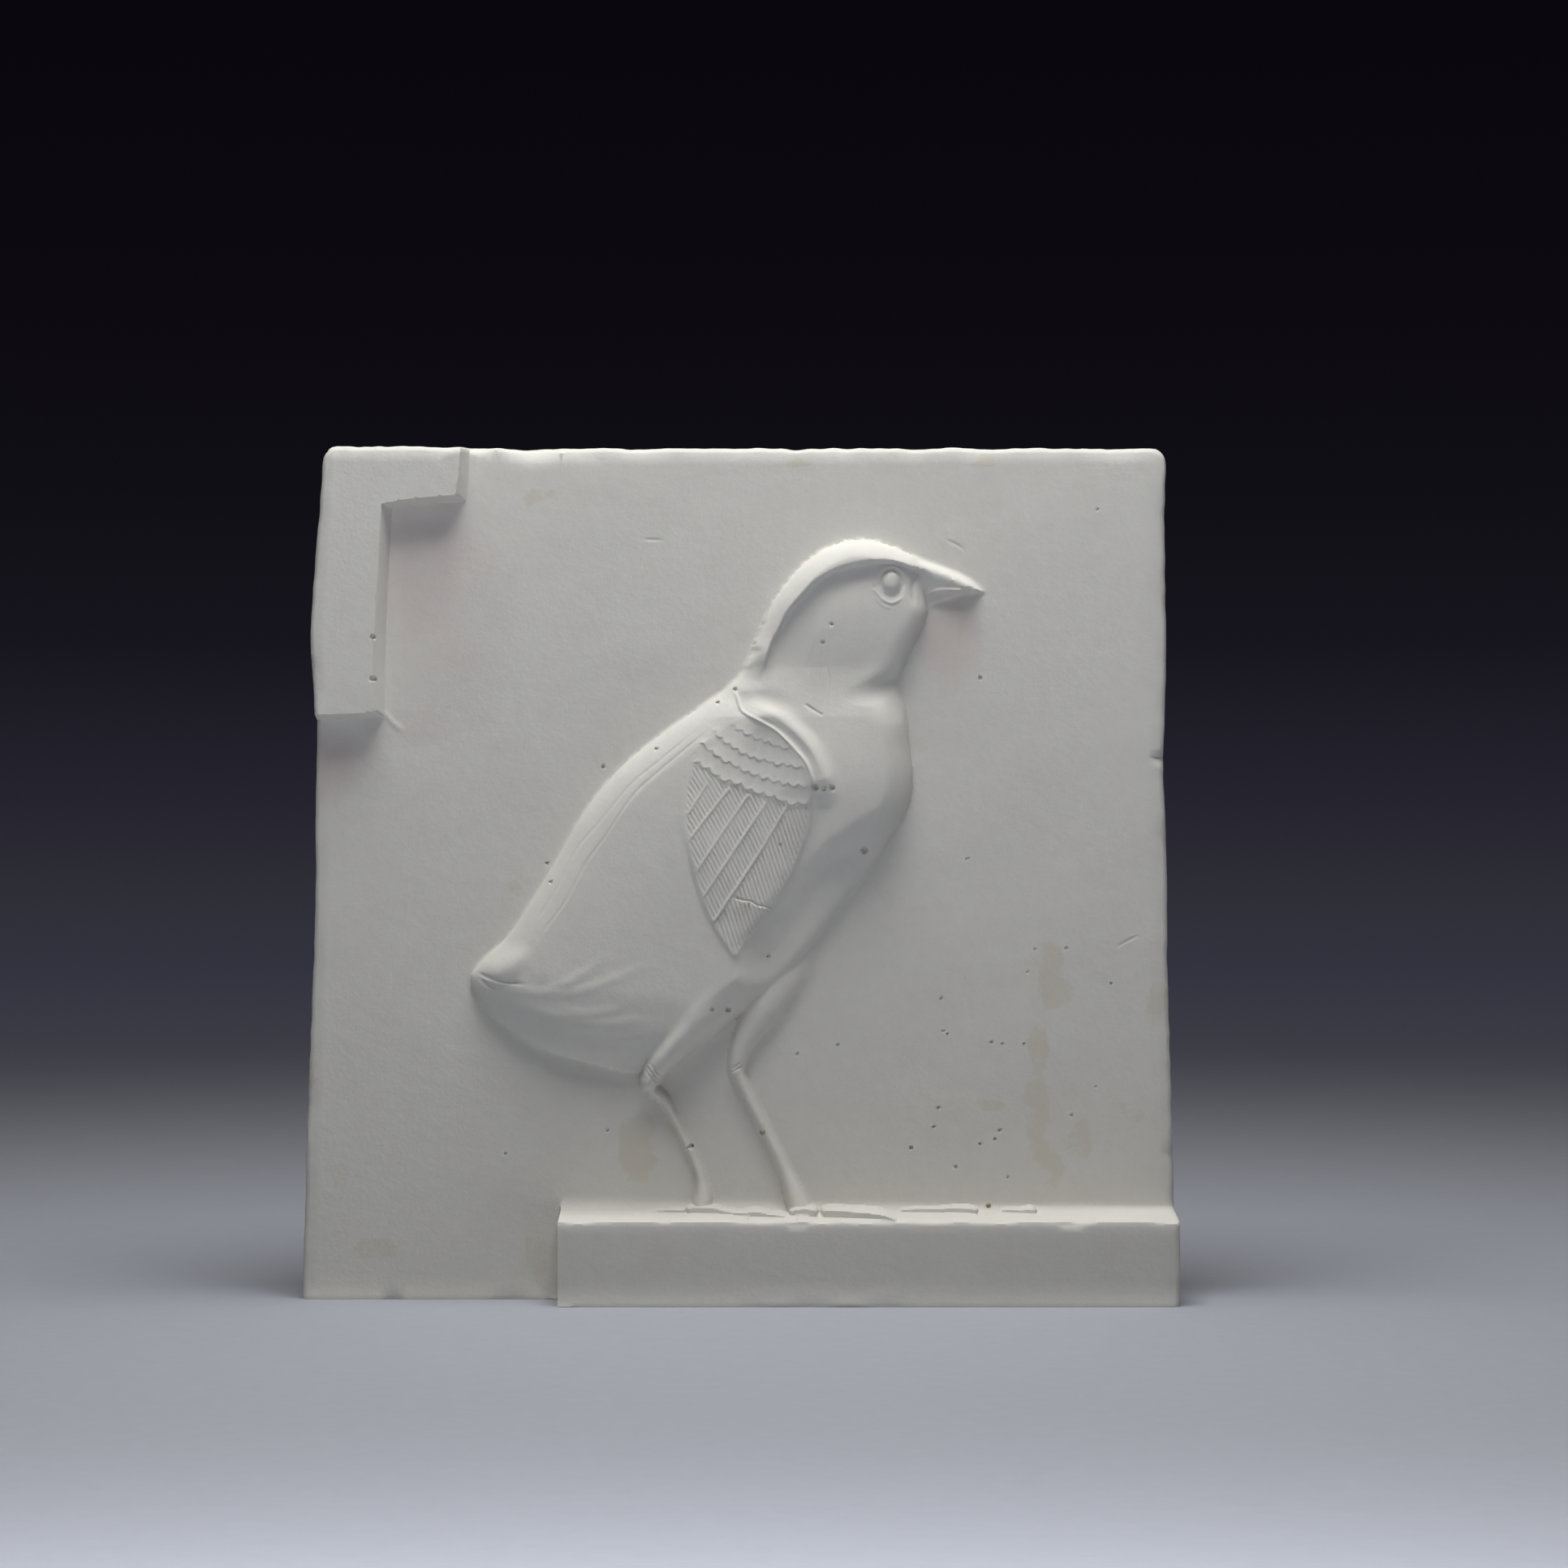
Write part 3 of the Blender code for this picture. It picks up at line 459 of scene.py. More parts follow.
def shortFeathers(spots):
    # each lip stands up at its scalloped lower border and dies away above it
    rise = np.zeros(len(spots))
    least, more = wing["lipUneven"]
    notchDepth, notchWidth, notchLength = wing["notch"]
    for row, (points, width, lip) in enumerate(wing["rows"]):
        close, gap, place, side, left = beside(spots, points, wing["rowReach"])
        uneven = grainy(oneWay(place), wing["rowGrain"], row + wing["rowSeed"])
        shift = wing["rowShift"] * uneven
        wave = np.cos(np.pi * (place + shift) / width)
        above = gap * side + wing["scallop"] * width * np.abs(wave)
        fading = np.clip(np.minimum(place + shift, left - shift) / wing["rowFade"], 0, 1)
        edge = np.exp(-np.maximum(above, 0) / wing["lipLength"])
        edge = edge * ramp(above, -wing["lipStep"], wing["lipStep"])
        notch = np.exp(-(wave / notchWidth) ** 2) * ramp(above, -0.1, 0.2)
        notch *= np.exp(-np.maximum(above, 0) / notchLength)
        rise[close] += (lip * edge * (least + more * uneven) - notchDepth * notch) * fading
    return rise


def barbPhase(spots):
    # place across the slanting barbs, half a barb out of step from feather to feather
    feather = np.zeros(len(spots), int)
    onShaft = np.zeros(len(spots))
    for points in wing["shafts"]:
        gap, _, side = along(spots, smoothCurve(points))
        feather += side > 0
        onShaft = np.maximum(onShaft, np.exp(-(gap / wing["shaftHalf"]) ** 4))
    slant = np.radians(np.array(wing["barbSlants"])[feather])
    across = np.column_stack([np.sin(slant), np.cos(slant)])
    place = np.sum((spots - wing["barbOrigin"]) * across, axis=1)
    phase = 2 * np.pi * place / wing["barbPeriod"] + np.pi * feather
    return phase, across, onShaft


def barbFade(spots):
    inside = depthInside(spots, wing)
    lower = smoothCurve(wing["rows"][-1][0])
    below = np.interp(spots[:, 0], lower[:, 0], lower[:, 1]) - spots[:, 1]
    return share(inside, *wing["barbEdge"]) * share(below, *wing["barbsBelow"])


def longFeathers(spots):
    rise = np.zeros(len(spots))
    close = near(spots, outlineOf(wing), 0)
    phase, across, onShaft = barbPhase(spots[close])
    uneven = 1 + unevenness(spots[close], [wing["barbUneven"]])
    cut = 0.5 * (1 + np.cos(phase)) * (1 - onShaft)
    steeper = np.clip(wing["barbSteep"] / across[:, 1], 1, 2)    # steep barbs catch little light from above
    depth = wing["barbDepth"] * barbFade(spots[close]) * uneven * steeper
    rise[close] = depth * (wing["shaftRise"] * onShaft - cut)
    return rise


def shoulderHeight(spots):
    # the shoulder steps up from the neck to the rim and levels off behind it
    rise = np.zeros(len(spots))
    close, gap, place, side, left = beside(spots, wing["rim"], wing["shoulderReach"])
    behind = -gap * side
    start, end = wing["shoulderFades"]
    fading = np.clip(place / start, 0, 1) * np.clip(left / end, 0, 1)
    levelFrom, levelOver = wing["shoulderLevel"]
    level = np.exp(-np.maximum(behind - levelFrom, 0) / levelOver)
    rise[close] = wing["shoulderRise"] * fading * level * ramp(behind, -wing["shoulderWidth"], 0.1)
    return rise


def flapHeight(spots):
    # a sliver near the wing's tip has lifted below a crack
    rise = carved(spots, wing, "crack")
    close, gap, place, side, left = beside(spots, wing["crack"], wing["flapReach"])
    below = -gap * side
    lift = ramp(below, 0.0, wing["flapStep"]) * np.exp(-np.maximum(below, 0) / wing["flapLength"])
    rise[close] += wing["flapRise"] * lift * np.clip(np.minimum(place, left) / wing["flapFade"], 0, 1)
    return rise


def wingHeight(spots):
    x, z = spots.T
    # the back edge of the wing runs out into the body above its middle
    slanted = z + wing["mergeSlant"] * (x - wing["mergeFrom"])
    merged = share(slanted, *wing["mergeUp"]) * share(x, *wing["mergeAcross"])
    step = wing["step"] * (0.8 + wing["softStep"] * merged)
    rise = wing["rise"] * (1 - wing["mergeLoss"] * merged) * ramp(depthInside(spots, wing), -step, step)
    rise += shoulderHeight(spots) + carved(spots, wing, "groove", "frontEdge", "hollow", "frontLine")
    return rise + flapHeight(spots) + shortFeathers(spots) + longFeathers(spots)


# middle line, half widths along it, rises along it
legs = {
    "farThigh": ([(11.6, 71.2), (7.6, 63.7), (3.8, 57.3), (0.7, 51.0), (-0.4, 46.6)],
                 [4.4, 4.8, 4.2, 2.7, 1.8], [1.2, 2.2, 2.8, 2.7, 2.4]),
    "farShank": ([(-0.3, 46.1), (2.0, 40.9), (6.7, 31.6), (10.3, 24.0), (12.2, 18.9)],
                 [1.6, 1.3, 1.2, 1.35, 2.4], [2.6, 2.2, 2.0, 2.2, 4.0]),
    "nearThigh": ([(-1.4, 66.5), (-6.0, 60.6), (-9.8, 55.6), (-13.2, 51.5), (-16.2, 47.7), (-18.0, 44.2)],
                  [7.6, 6.3, 4.8, 3.7, 3.0, 2.1], [4.6, 5.9, 6.6, 6.4, 5.6, 4.3]),
    "nearShank": ([(-17.2, 42.6), (-15.0, 40.2), (-12.0, 34.4), (-8.5, 27.3), (-7.2, 22.2), (-7.2, 18.8)],
                  [1.5, 1.0, 0.85, 0.9, 1.05, 2.1], [3.0, 2.0, 1.8, 1.8, 2.2, 3.6]),
}
legBlend = 0.9
hocks = {"cuts": {"bands": (0.32, -0.35, 0.3)}, "bands": [
    [(-18.9, 46.9), (-17.6, 45.4), (-15.9, 44.0)],
    [(-18.4, 47.5), (-17.0, 45.9), (-15.3, 44.6)],
    [(-17.8, 48.1), (-16.4, 46.5), (-14.8, 45.2)],
    [(-2.6, 47.0), (-1.2, 47.0), (0.6, 48.2)],
    [(-2.4, 46.3), (-1.0, 46.4), (0.9, 47.4)],
]}
# toes lying on the ledge with upright fronts: x, height of the upper edge, how proud the front is
toes = [
    [(-11.2, 18.5, 3.6), (-9.9, 19.0, 4.0), (-8.5, 19.1, 4.4), (-5.4, 19.2, 5.0), (-2.2, 18.5, 5.5),
     (0.9, 18.3, 6.0), (3.7, 18.6, 6.5), (6.3, 18.1, 7.0), (8.8, 17.9, 7.4), (10.9, 17.4, 7.8)],
    [(16.2, 17.6, 6.9), (17.6, 18.9, 7.3), (21.8, 18.9, 8.4), (25.9, 18.7, 9.6), (28.9, 18.4, 10.5),
     (31.4, 17.6, 11.2), (32.6, 17.1, 11.4)],
    [(9.6, 18.2, 5.6), (11.4, 18.9, 6.2), (13.4, 19.1, 6.4), (15.3, 18.9, 6.6), (16.6, 18.1, 6.9)],
    [(-19.8, 18.2, 1.9), (-15.0, 18.4, 2.3), (-10.1, 18.6, 3.2)],
    [(31.9, 18.2, 1.7), (35.0, 18.6, 2.0), (40.0, 18.7, 2.6), (44.0, 19.0, 3.4), (47.2, 18.9, 4.3),
     (48.9, 18.2, 4.4)],
    [(52.5, 18.1, 1.8), (54.5, 18.5, 2.4), (57.0, 18.5, 3.2), (59.2, 18.8, 4.2), (60.8, 18.1, 4.4)],
]
toeStart, toeEnd, toeEdge = 1.2, 1.0, (-0.35, 0.15)


def toeHeight(spots, points):
    line = smoothCurve(points)
    height = np.zeros(len(spots))
    close = near(spots, line[:, :2], 1)
    x, z = spots[close].T
    top, proud = (np.interp(x, line[:, 0], line[:, k]) for k in (1, 2))
    first, last = line[0, 0], line[-1, 0]
    within = ramp(x, first, first + toeStart) * ramp(-x, -last, toeEnd - last)
    height[close] = proud * within * ramp(top - z, *toeEdge)
    return height


def tucked(spots, form):
    # the underside draws in behind the tail, and the lower breast towards the thighs
    close, gap, _, _, _ = beside(spots, body["underside"], body["undersideBand"])
    inward = np.full(len(spots), 99.0)
    inward[close] = gap / body["undersideReach"]
    tuck = body["undersideStart"] + body["undersideRise"] * (1 - np.maximum(1 - inward, 0) ** 2)
    tuck += body["undersideEndRise"] * np.maximum(inward - body["undersideEnd"], 0) ** 2
    form = softLow(form, tuck, body["tuckBlend"])
    close, inward, _, _, _ = beside(spots, body["lowerBreast"], body["breastBand"])
    fall = body["breastStart"] + body["breastSlope"] * inward
    fall += body["breastCurve"] * np.maximum(inward - body["breastFlat"], 0) ** 2
    fall += body["topCurve"] * np.maximum(spots[close, 1] - body["breastTop"], 0) ** 2
    form[close] = softLow(form[close], fall, body["tuckBlend"])
    return form


def birdHeight(spots):
    x, z = spots.T
    depth = softTop(depthInside(spots, body), depthInside(spots, head), body["neckBlend"])
    forward = share(x, *body["forward"])
    upper = share(z, *body["upper"])
    nape = upper * share(z, *head["napeUp"]) * share(x, *head["napeAcross"])
    roll = body["backRoll"] + (body["breastRoll"] - body["backRoll"]) * forward
    roll += (head["roll"] - roll) * upper + head["napeRoll"] * nape
    proud = body["backProud"] + (body["breastProud"] - body["backProud"]) * forward * (1 - upper)
    form = rolled(depth, proud - head["napeDrop"] * nape, roll)
    back = along(spots, smoothCurve(body["outline"][:body["backPoints"]]))[0]
    toMiddle = 1 - (1 - np.clip(back / body["swellReach"], 0, 1)) ** 2
    form += body["backSwell"] * toMiddle * np.clip(depth / roll, 0, 1) * (1 - upper)
    form = tucked(spots, form)
    form += np.where(depth > 0, hoodHeight(spots, np.maximum(depth, 0)), 0)
    form = softTop(form, beakHeight(spots), beak["blend"])
    cover = np.clip(form / body["backProud"], 0, 1)
    form += cover * sum(swelling(spots, *mound) for mound in body["swellings"])
    details = wingHeight(spots) + eyeHeight(spots) + faceHeight(spots)
    details += carved(spots, body, "backLines", "tailFolds", "tailCreases")
    form += np.where(form > 0, details, 0)
    for points, widths, rises in legs.values():
        form = softTop(form, limb(spots, points, widths, rises), legBlend)
    return form + carved(spots, hocks, "bands")


# Wear: pits, chips and scraping

# middle and radius of each pit left by an air bubble, and its depth as a share of the radius
pitDepth = 2.2
pits = [
    (49.0, 125.9, 0.4), (-27.4, 108.0, 0.4), (-38.8, 88.4, 0.35), (-37.8, 84.6, 0.35),
    (46.4, 89.3, 0.3), (66.5, 71.1, 0.3), (60.1, 71.0, 0.25), (58.6, 66.3, 0.25), (76.1, 64.0, 0.3),
    (41.1, 61.0, 0.3), (41.6, 54.4, 0.3), (42.4, 53.8, 0.25), (51.3, 52.1, 0.3), (53.5, 51.8, 0.25),
    (57.9, 51.8, 0.25), (72.6, 43.1, 0.3), (40.6, 38.8, 0.35), (67.5, 37.3, 0.3), (39.6, 35.0, 0.3),
    (53.0, 34.3, 0.35), (52.0, 32.5, 0.3), (49.0, 31.5, 0.3), (35.0, 30.7, 0.4), (44.1, 26.9, 0.35),
    (54.6, 24.8, 0.3), (20.1, 51.6, 0.3), (11.9, 49.7, 0.3), (1.3, 40.4, 0.3), (-26.5, 34.2, 0.3),
    (-47.2, 29.5, 0.3), (73.3, 160.1, 0.3),
    (-16.5, 111.5, 0.35), (-0.6, 123.5, 0.4), (-4.1, 120.8, 0.35), (6.1, 69.7, 0.35),
    (-2.0, 59.0, 0.6), (-5.3, 59.0, 0.35), (-13.4, 47.1, 0.35), (25.5, 91.2, 0.65), (8.6, 92.3, 0.35),
    (18.9, 136.6, 0.35), (17.1, 133.0, 0.35), (15.5, 103.7, 0.7), (17.3, 103.5, 0.45), (18.9, 103.6, 0.5),
    (-74.4, 134.1, 0.6), (-74.5, 125.6, 0.65), (-9.6, 31.0, 0.6), (4.9, 34.0, 0.5), (50.7, 18.8, 0.5),
]
# middle, radii, turn and depth of each chip out of an edge
chips = [
    ((-41.0, 174.0), (8.0, 3.0), 0, 1.8), ((-52.4, 173.2), (3.0, 1.9), 0, 1.2),
    ((-31.5, 172.3), (4.5, 1.3), -8, 0.5), ((88.0, 109.6), (3.4, 0.8), 0, 0.9),
    ((89.4, 93.0), (2.4, 5.0), 0, 0.8), ((90.0, 29.5), (3.0, 2.2), 0, 1.2),
    ((12.0, 16.5), (2.6, 0.9), 0, 0.35), ((-70.0, 0.0), (2.2, 1.3), 0, 0.5),
    ((-46.0, 0.0), (5.0, 1.0), 0, 0.3), ((66.6, 16.5), (3.2, 0.8), 0, 0.4),
]
scratches = {"cuts": {"lines": (0.4, -0.15)}, "lines": [
    [(41.8, 154.1), (44.4, 152.8), (46.0, 151.7)],
    [(-19.4, 154.0), (-15.2, 153.8)],
    [(77.0, 71.2), (80.0, 72.8), (82.1, 73.7)],
]}
# shallow waves left by scraping, and finer strokes drawn along one direction: height, size, seed
scraping = {
    "waves": [(0.10, 21.0, 9.0), (0.045, 8.0, 0.0), (0.02, 3.1, 5.0)],
    "strokes": [(0.016, 1.3, 12.0)], "strokeWay": (0.35, 0.2),
}
# width over which the forms run into each other
blends = {"ground": 0.5, "outline": 1.1, "bird": 0.4, "toe": 0.2}


def wear(spots):
    lost = np.zeros(len(spots))
    for x, z, radius in pits:
        close = near(spots, np.array([(x, z)]), radius * 1.3)
        reach = np.hypot(*(spots[close] - (x, z)).T) / radius
        lost[close] += pitDepth * radius * np.sqrt(np.clip(1 - reach ** 2, 0, 1))
    for middle, radii, turn, depth in chips:
        lost += np.sqrt(np.clip(swelling(spots, middle, radii, turn, 1.0), 0, 1)) * depth
    return lost - carved(spots, scratches, "lines")


def handWorked(spots):
    stroked = np.column_stack([spots @ scraping["strokeWay"], spots[:, 1]])
    return unevenness(spots, scraping["waves"]) + unevenness(stroked, scraping["strokes"])


def reliefHeight(spots):
    level = np.zeros(len(spots))
    ground = softTop(np.maximum(ledgeHeight(spots), borderHeight(spots)), level, blends["ground"])
    bird = softTop(birdHeight(spots), level, blends["outline"])
    relief = softTop(ground, bird, blends["bird"])
    for points in toes:
        relief = softTop(relief, toeHeight(spots, points), blends["toe"])
    relief += slab["flare"] * np.exp(-spots[:, 1] / slab["flareReach"])
    return relief + handWorked(spots) - wear(spots)


def edgeRounding(spots):
    x, z = spots.T
    radius = slab["rounding"] * (1 + unevenness(spots, slab["edgeWear"]))
    inward = np.minimum(slab["width"] / 2 - np.abs(x), slab["height"] - z)
    t = np.clip(inward / radius, 0, 1)
    foot = np.clip(z / slab["footRounding"], 0, 1)
    turned = slab["footRounding"] * (1 - np.sqrt(1 - (1 - foot) ** 2))
    return radius * (1 - np.sqrt(1 - (1 - t) ** 2)) + turned


# Mesh

meshing = {
    "plainCell": 1.75, "formCell": 0.88, "edgeCell": 0.45, "lineCell": 0.22,
    "growth": 0.4, "slack": 1.35, "snap": 0.45, "barbSnap": 0.9, "rounds": 3, "sharpAngle": 50,
}
# rows of the sides, rounding, wear and grain of the sides, and the broad cells of the scraped back
rear = {
    "rows": 12, "rounding": 1.3, "drawnIn": 0.9,
    "wear": 0.22, "wearFall": 3, "leastWear": 0.3, "grain": (9, 5, 9),
    "inset": 1.6, "columns": 9, "columnWidth": 9.0, "levels": 18, "levelHeight": 9.2, "largeFace": 60,
    "slack": 0.001,    # how far from the back's plane a face still belongs to it
    "rim": 4.0, "hollow": 0.35, "hollowGrain": (23, 31), "hollowSeed": 7.0,
}


def closedOutlines():
    return [outlineOf(shape) for shape in (body, head, beak)]


def borderLines():
    names = [name for name in border if name.endswith(("Crest", "Foot", "Spike"))]
    lines = [np.array(border[name]) for name in names]
    half = slab["width"] / 2
    lines += [np.array([(ledge["left"], ledge["front"]), (half, ledge["front"])])]
    for level in (ledge["endTop"], ledge["back"]):
        lines.append(np.array([(ledge["leftFoot"], level), (half, level)]))
    lines += [np.array([(ledge[side], 0.0), (ledge[side], ledge["front"])]) for side in ("left", "leftFoot")]
    return lines


def slabEdges():
    half, top = slab["width"] / 2, slab["height"]
    return [np.array([(-half, 0.0), (-half, top), (half, top), (half, 0.0), (-half, 0.0)])]


def fineLines():
    lines = [head["hoodBorder"], beak["mouth"], beak["underMouth"], beak["base"], beak["culmen"]]
    lines += [eye["brow"], eye["corner"], eye["under"], wing["rim"], wing["groove"]]
    lines += [eye["upperLid"], eye["lowerLid"], wing["crack"], wing["frontLine"], wing["frontEdge"]]
    lines += head["neckLines"] + [head["neckStroke"]] + body["backLines"] + body["tailCreases"]
    lines += scratches["lines"] + hocks["bands"]
    lines += [[point[:2] for point in points] for points in toes]
    lines += [[(x, z), (x + 0.05, z)] for x, z, _ in pits]
    lines += [[eye["middle"], (eye["middle"][0] + 0.1, eye["middle"][1])]]
    return [smoothCurve(line) for line in lines]


def wantedCell(spots):
    # the cell that the relief wants at each spot, growing slowly away from each line
    form = np.maximum(depthInside(spots, body), depthInside(spots, head))
    wanted = np.minimum(meshing["formCell"] + meshing["growth"] * np.maximum(-form, 0), meshing["plainCell"])
    legLines = [smoothCurve(points) for points, _, _ in legs.values()]
    # lines, how far from them the cells stay small, and the cell there
    groups = [
        (closedOutlines(), 0.9, meshing["edgeCell"]),
        ([outlineOf(wing)], 0.4, meshing["lineCell"]),
        (fineLines(), 0.45, meshing["lineCell"]),
        (legLines, 2.2, meshing["edgeCell"]),
        (borderLines(), 0.9, meshing["edgeCell"]),
        (slabEdges(), 1.2, meshing["formCell"]),
        ([smoothCurve(line) for line in body["tailFolds"]], 1.2, meshing["edgeCell"]),
    ]
    for lines, band, cell in groups:
        for line in lines:
            close = near(spots, line, band + 4)
            gap = along(spots[close], line)[0]
            grown = cell + meshing["growth"] * np.maximum(gap - band, 0)
            wanted[close] = np.minimum(wanted[close], grown)
    return np.where(depthInside(spots, wing) > 0, meshing["lineCell"], wanted)


def gathered(inward, reach=3.4, closing=1.6):
    # rows close up towards the slab's edges, where the front turns over
    return inward if inward > reach else reach * (inward / reach) ** closing


def planGrid():
    columns = round(slab["width"] / meshing["plainCell"])
    rows = round(slab["height"] / meshing["plainCell"])
    mesh = bmesh.new()
    bmesh.ops.create_grid(mesh, x_segments=columns, y_segments=rows, size=0.5)
    for vert in mesh.verts:
        vert.co = (vert.co.x * slab["width"], 0.0, (vert.co.y + 0.5) * slab["height"])
    for _ in range(meshing["rounds"]):
        faces = [face for face in mesh.faces if len(face.verts) == 4]
        wanted = wantedCell(np.array([face.calc_center_median().xz for face in faces]))
        longEdges = {
            edge.index: edge
            for face, cell in zip(faces, wanted) for edge in face.edges
            if edge.calc_length() > meshing["slack"] * cell
        }
        edges = [longEdges[index] for index in sorted(longEdges)]
        bmesh.ops.subdivide_edges(mesh, edges=edges, cuts=1, use_grid_fill=True)
        mesh.edges.index_update()
    for vert in mesh.verts:
        x, _, z = vert.co
        vert.co.x = math.copysign(slab["width"] / 2 - gathered(slab["width"] / 2 - abs(x)), x)
        vert.co.z = slab["height"] - gathered(slab["height"] - gathered(z))
    return mesh


def drawOntoLines(mesh):
    # vertices close to an outline move onto it, so that the outline stays crisp
    verts = [vert for vert in mesh.verts if not vert.is_boundary]
    spots = np.array([vert.co.xz for vert in verts])
    sizes = np.array([min(edge.calc_length() for edge in vert.link_edges) for vert in verts])
    for line in closedOutlines() + borderLines():
        close = np.flatnonzero(near(spots, line, 1.0))
        gap, place, _ = along(spots[close], line)
        lengths = np.concatenate([[0], np.cumsum(np.hypot(*np.diff(line, axis=0).T))])
        onto = np.column_stack([np.interp(place, lengths, line[:, k]) for k in (0, 1)])
        hit = gap < meshing["snap"] * sizes[close]
        spots[close[hit]] = onto[hit]
        sizes[close[hit]] = 0
    drawOntoBarbs(spots, sizes)
    for vert, (x, z) in zip(verts, spots):
        vert.co = (x, 0.0, z)


def drawOntoBarbs(spots, sizes):
    # in the long feathers the vertices move onto the crests, flanks and hollows of the barbs
    close = np.flatnonzero(near(spots, outlineOf(wing), 0) & (sizes > 0))
    close = close[barbFade(spots[close]) > 0]
    phase, across, onShaft = barbPhase(spots[close])
    quarter = np.pi / 2
    shift = (np.round(phase / quarter) * quarter - phase) * wing["barbPeriod"] / (2 * np.pi)
    spots[close] += meshing["barbSnap"] * (shift * (1 - onShaft))[:, None] * across


def wornOutline(spots):
    # the straight plan drawn in to the casting's wavy sides and rounded corners
    x, z = spots.T
    half = slab["width"] / 2
    level = z / slab["height"]
    left, right = smoothCurve(slab["left"]), smoothCurve(slab["right"])
    fromLeft = np.clip(1 - (x + half) / slab["edgeReach"], 0, 1)
    fromRight = np.clip(1 - (half - x) / slab["edgeReach"], 0, 1)
    moved = x + fromLeft * np.interp(level, left[:, 0], left[:, 1])
    moved = moved - fromRight * np.interp(level, right[:, 0], right[:, 1])
    rough = np.abs(unevenness(oneWay(z), slab["sideWear"])) * np.clip(z / slab["cleanFoot"], 0, 1)
    moved = moved + rough * np.clip(fromLeft * 4 - 3, 0, 1) - rough * np.clip(fromRight * 4 - 3, 0, 1)
    radius = slab["cornerRadius"]
    a = np.clip((np.abs(x) - half + radius) / radius, 0, 1)
    b = np.clip((z - slab["height"] + radius) / radius, 0, 1)
    reach = np.hypot(a, b)
    pull = np.where(reach > 0, 1 - np.maximum(a, b) / np.maximum(reach, 1e-9), 0)
    moved = moved - np.sign(x) * a * pull * radius
    wavy = np.maximum(slab["topLoss"] + unevenness(oneWay(x), slab["topWear"]), 0)
    fromTop = np.clip(1 - (slab["height"] - z) / slab["topReach"], 0, 1)
    return np.column_stack([moved, z - b * pull * radius - wavy * fromTop])


def shapeFront(mesh):
    verts = list(mesh.verts)
    spots = np.array([vert.co.xz for vert in verts])
    proud = reliefHeight(spots) - edgeRounding(spots)
    placed = wornOutline(spots)
    face = (ledge["proud"] - slab["thick"]) / 2
    for vert, (x, z), rise in zip(verts, placed, proud):
        vert.co = (x, face - min(rise, ledge["proud"]), z)


def closeBack(mesh):
    # the four sides in rows, a rounded back edge, and a scraped back in broad cells
    back = (ledge["proud"] + slab["thick"]) / 2
    half, top = slab["width"] / 2, slab["height"]
    rows, rounding = rear["rows"], rear["rounding"]
    ring = [edge for edge in mesh.edges if edge.is_boundary]
    for row in range(1, rows + 1):
        made = bmesh.ops.extrude_edge_only(mesh, edges=ring)["geom"]
        ring = [item for item in made if isinstance(item, bmesh.types.BMEdge) and item.is_boundary]
        for vert in (item for item in made if isinstance(item, bmesh.types.BMVert)):
            x, y, z = vert.co
            y += (back - y) / (rows + 1 - row)
            grain = [value / size for value, size in zip((x, y, z), rear["grain"])]
            fading = min(1, rear["wearFall"] * (1 - row / rows) + rear["leastWear"])
            worn = rear["wear"] * abs(noise.noise(grain)) * fading
            t = max(0.0, 1 - (back - y) / rounding)
            worn += rounding * (1 - math.sqrt(1 - t * t)) * rear["drawnIn"]
            vert.co = (x * (1 - worn / half), y, z * (1 - worn / top))
    plate = bmesh.ops.contextual_create(mesh, geom=ring)["faces"]
    bmesh.ops.inset_region(mesh, faces=plate, thickness=rear["inset"], use_even_offset=True)
    for across in range(-rear["columns"], rear["columns"] + 1):
        cutPlate(mesh, back, (across * rear["columnWidth"], 0, 0), (1, 0, 0))
    for upward in range(1, rear["levels"] + 1):
        cutPlate(mesh, back, (0, 0, upward * rear["levelHeight"]), (0, 0, 1))
    wide, tall = rear["hollowGrain"]
    for vert in mesh.verts:
        if vert.co.y > back - rear["slack"] and all(len(face.verts) > 3 for face in vert.link_faces):
            x, _, z = vert.co
            if min(half - abs(x), top - z, z) > rear["rim"]:
                vert.co.y -= rear["hollow"] * abs(noise.noise((x / wide, z / tall, rear["hollowSeed"])))


def cutPlate(mesh, back, point, normal):
    plates = [face for face in mesh.faces if face.calc_center_median().y > back - rear["slack"]]
    plates = [face for face in plates if face.calc_area() > rear["largeFace"]]
    parts = plates + [edge for face in plates for edge in face.edges]
    parts += [vert for face in plates for vert in face.verts]
    bmesh.ops.bisect_plane(mesh, geom=list(dict.fromkeys(parts)), plane_co=point, plane_no=normal)


# Material

def linear(hexColour):
    channels = [int(hexColour[k:k + 2], 16) / 255 for k in (1, 3, 5)]
    return [c / 12.92 if c <= 0.04045 else ((c + 0.055) / 1.055) ** 2.4 for c in channels] + [1.0]


def addNode(tree, kind, settings=None, links=None):
    node = tree.nodes.new(kind)
    for name, value in (settings or {}).items():
        if isinstance(name, int) or name in node.inputs.keys():
            node.inputs[name].default_value = value
        else:
            setattr(node, name, value)
    for name, source in (links or {}).items():
        tree.links.new(source, node.inputs[name])
    return node


def emptyTree(owner):
    owner.use_nodes = True
    owner.node_tree.nodes.clear()
    return owner.node_tree


def newObject(name, data):
    made = bpy.data.objects.new(name, data)
    bpy.context.scene.collection.objects.link(made)
    return made


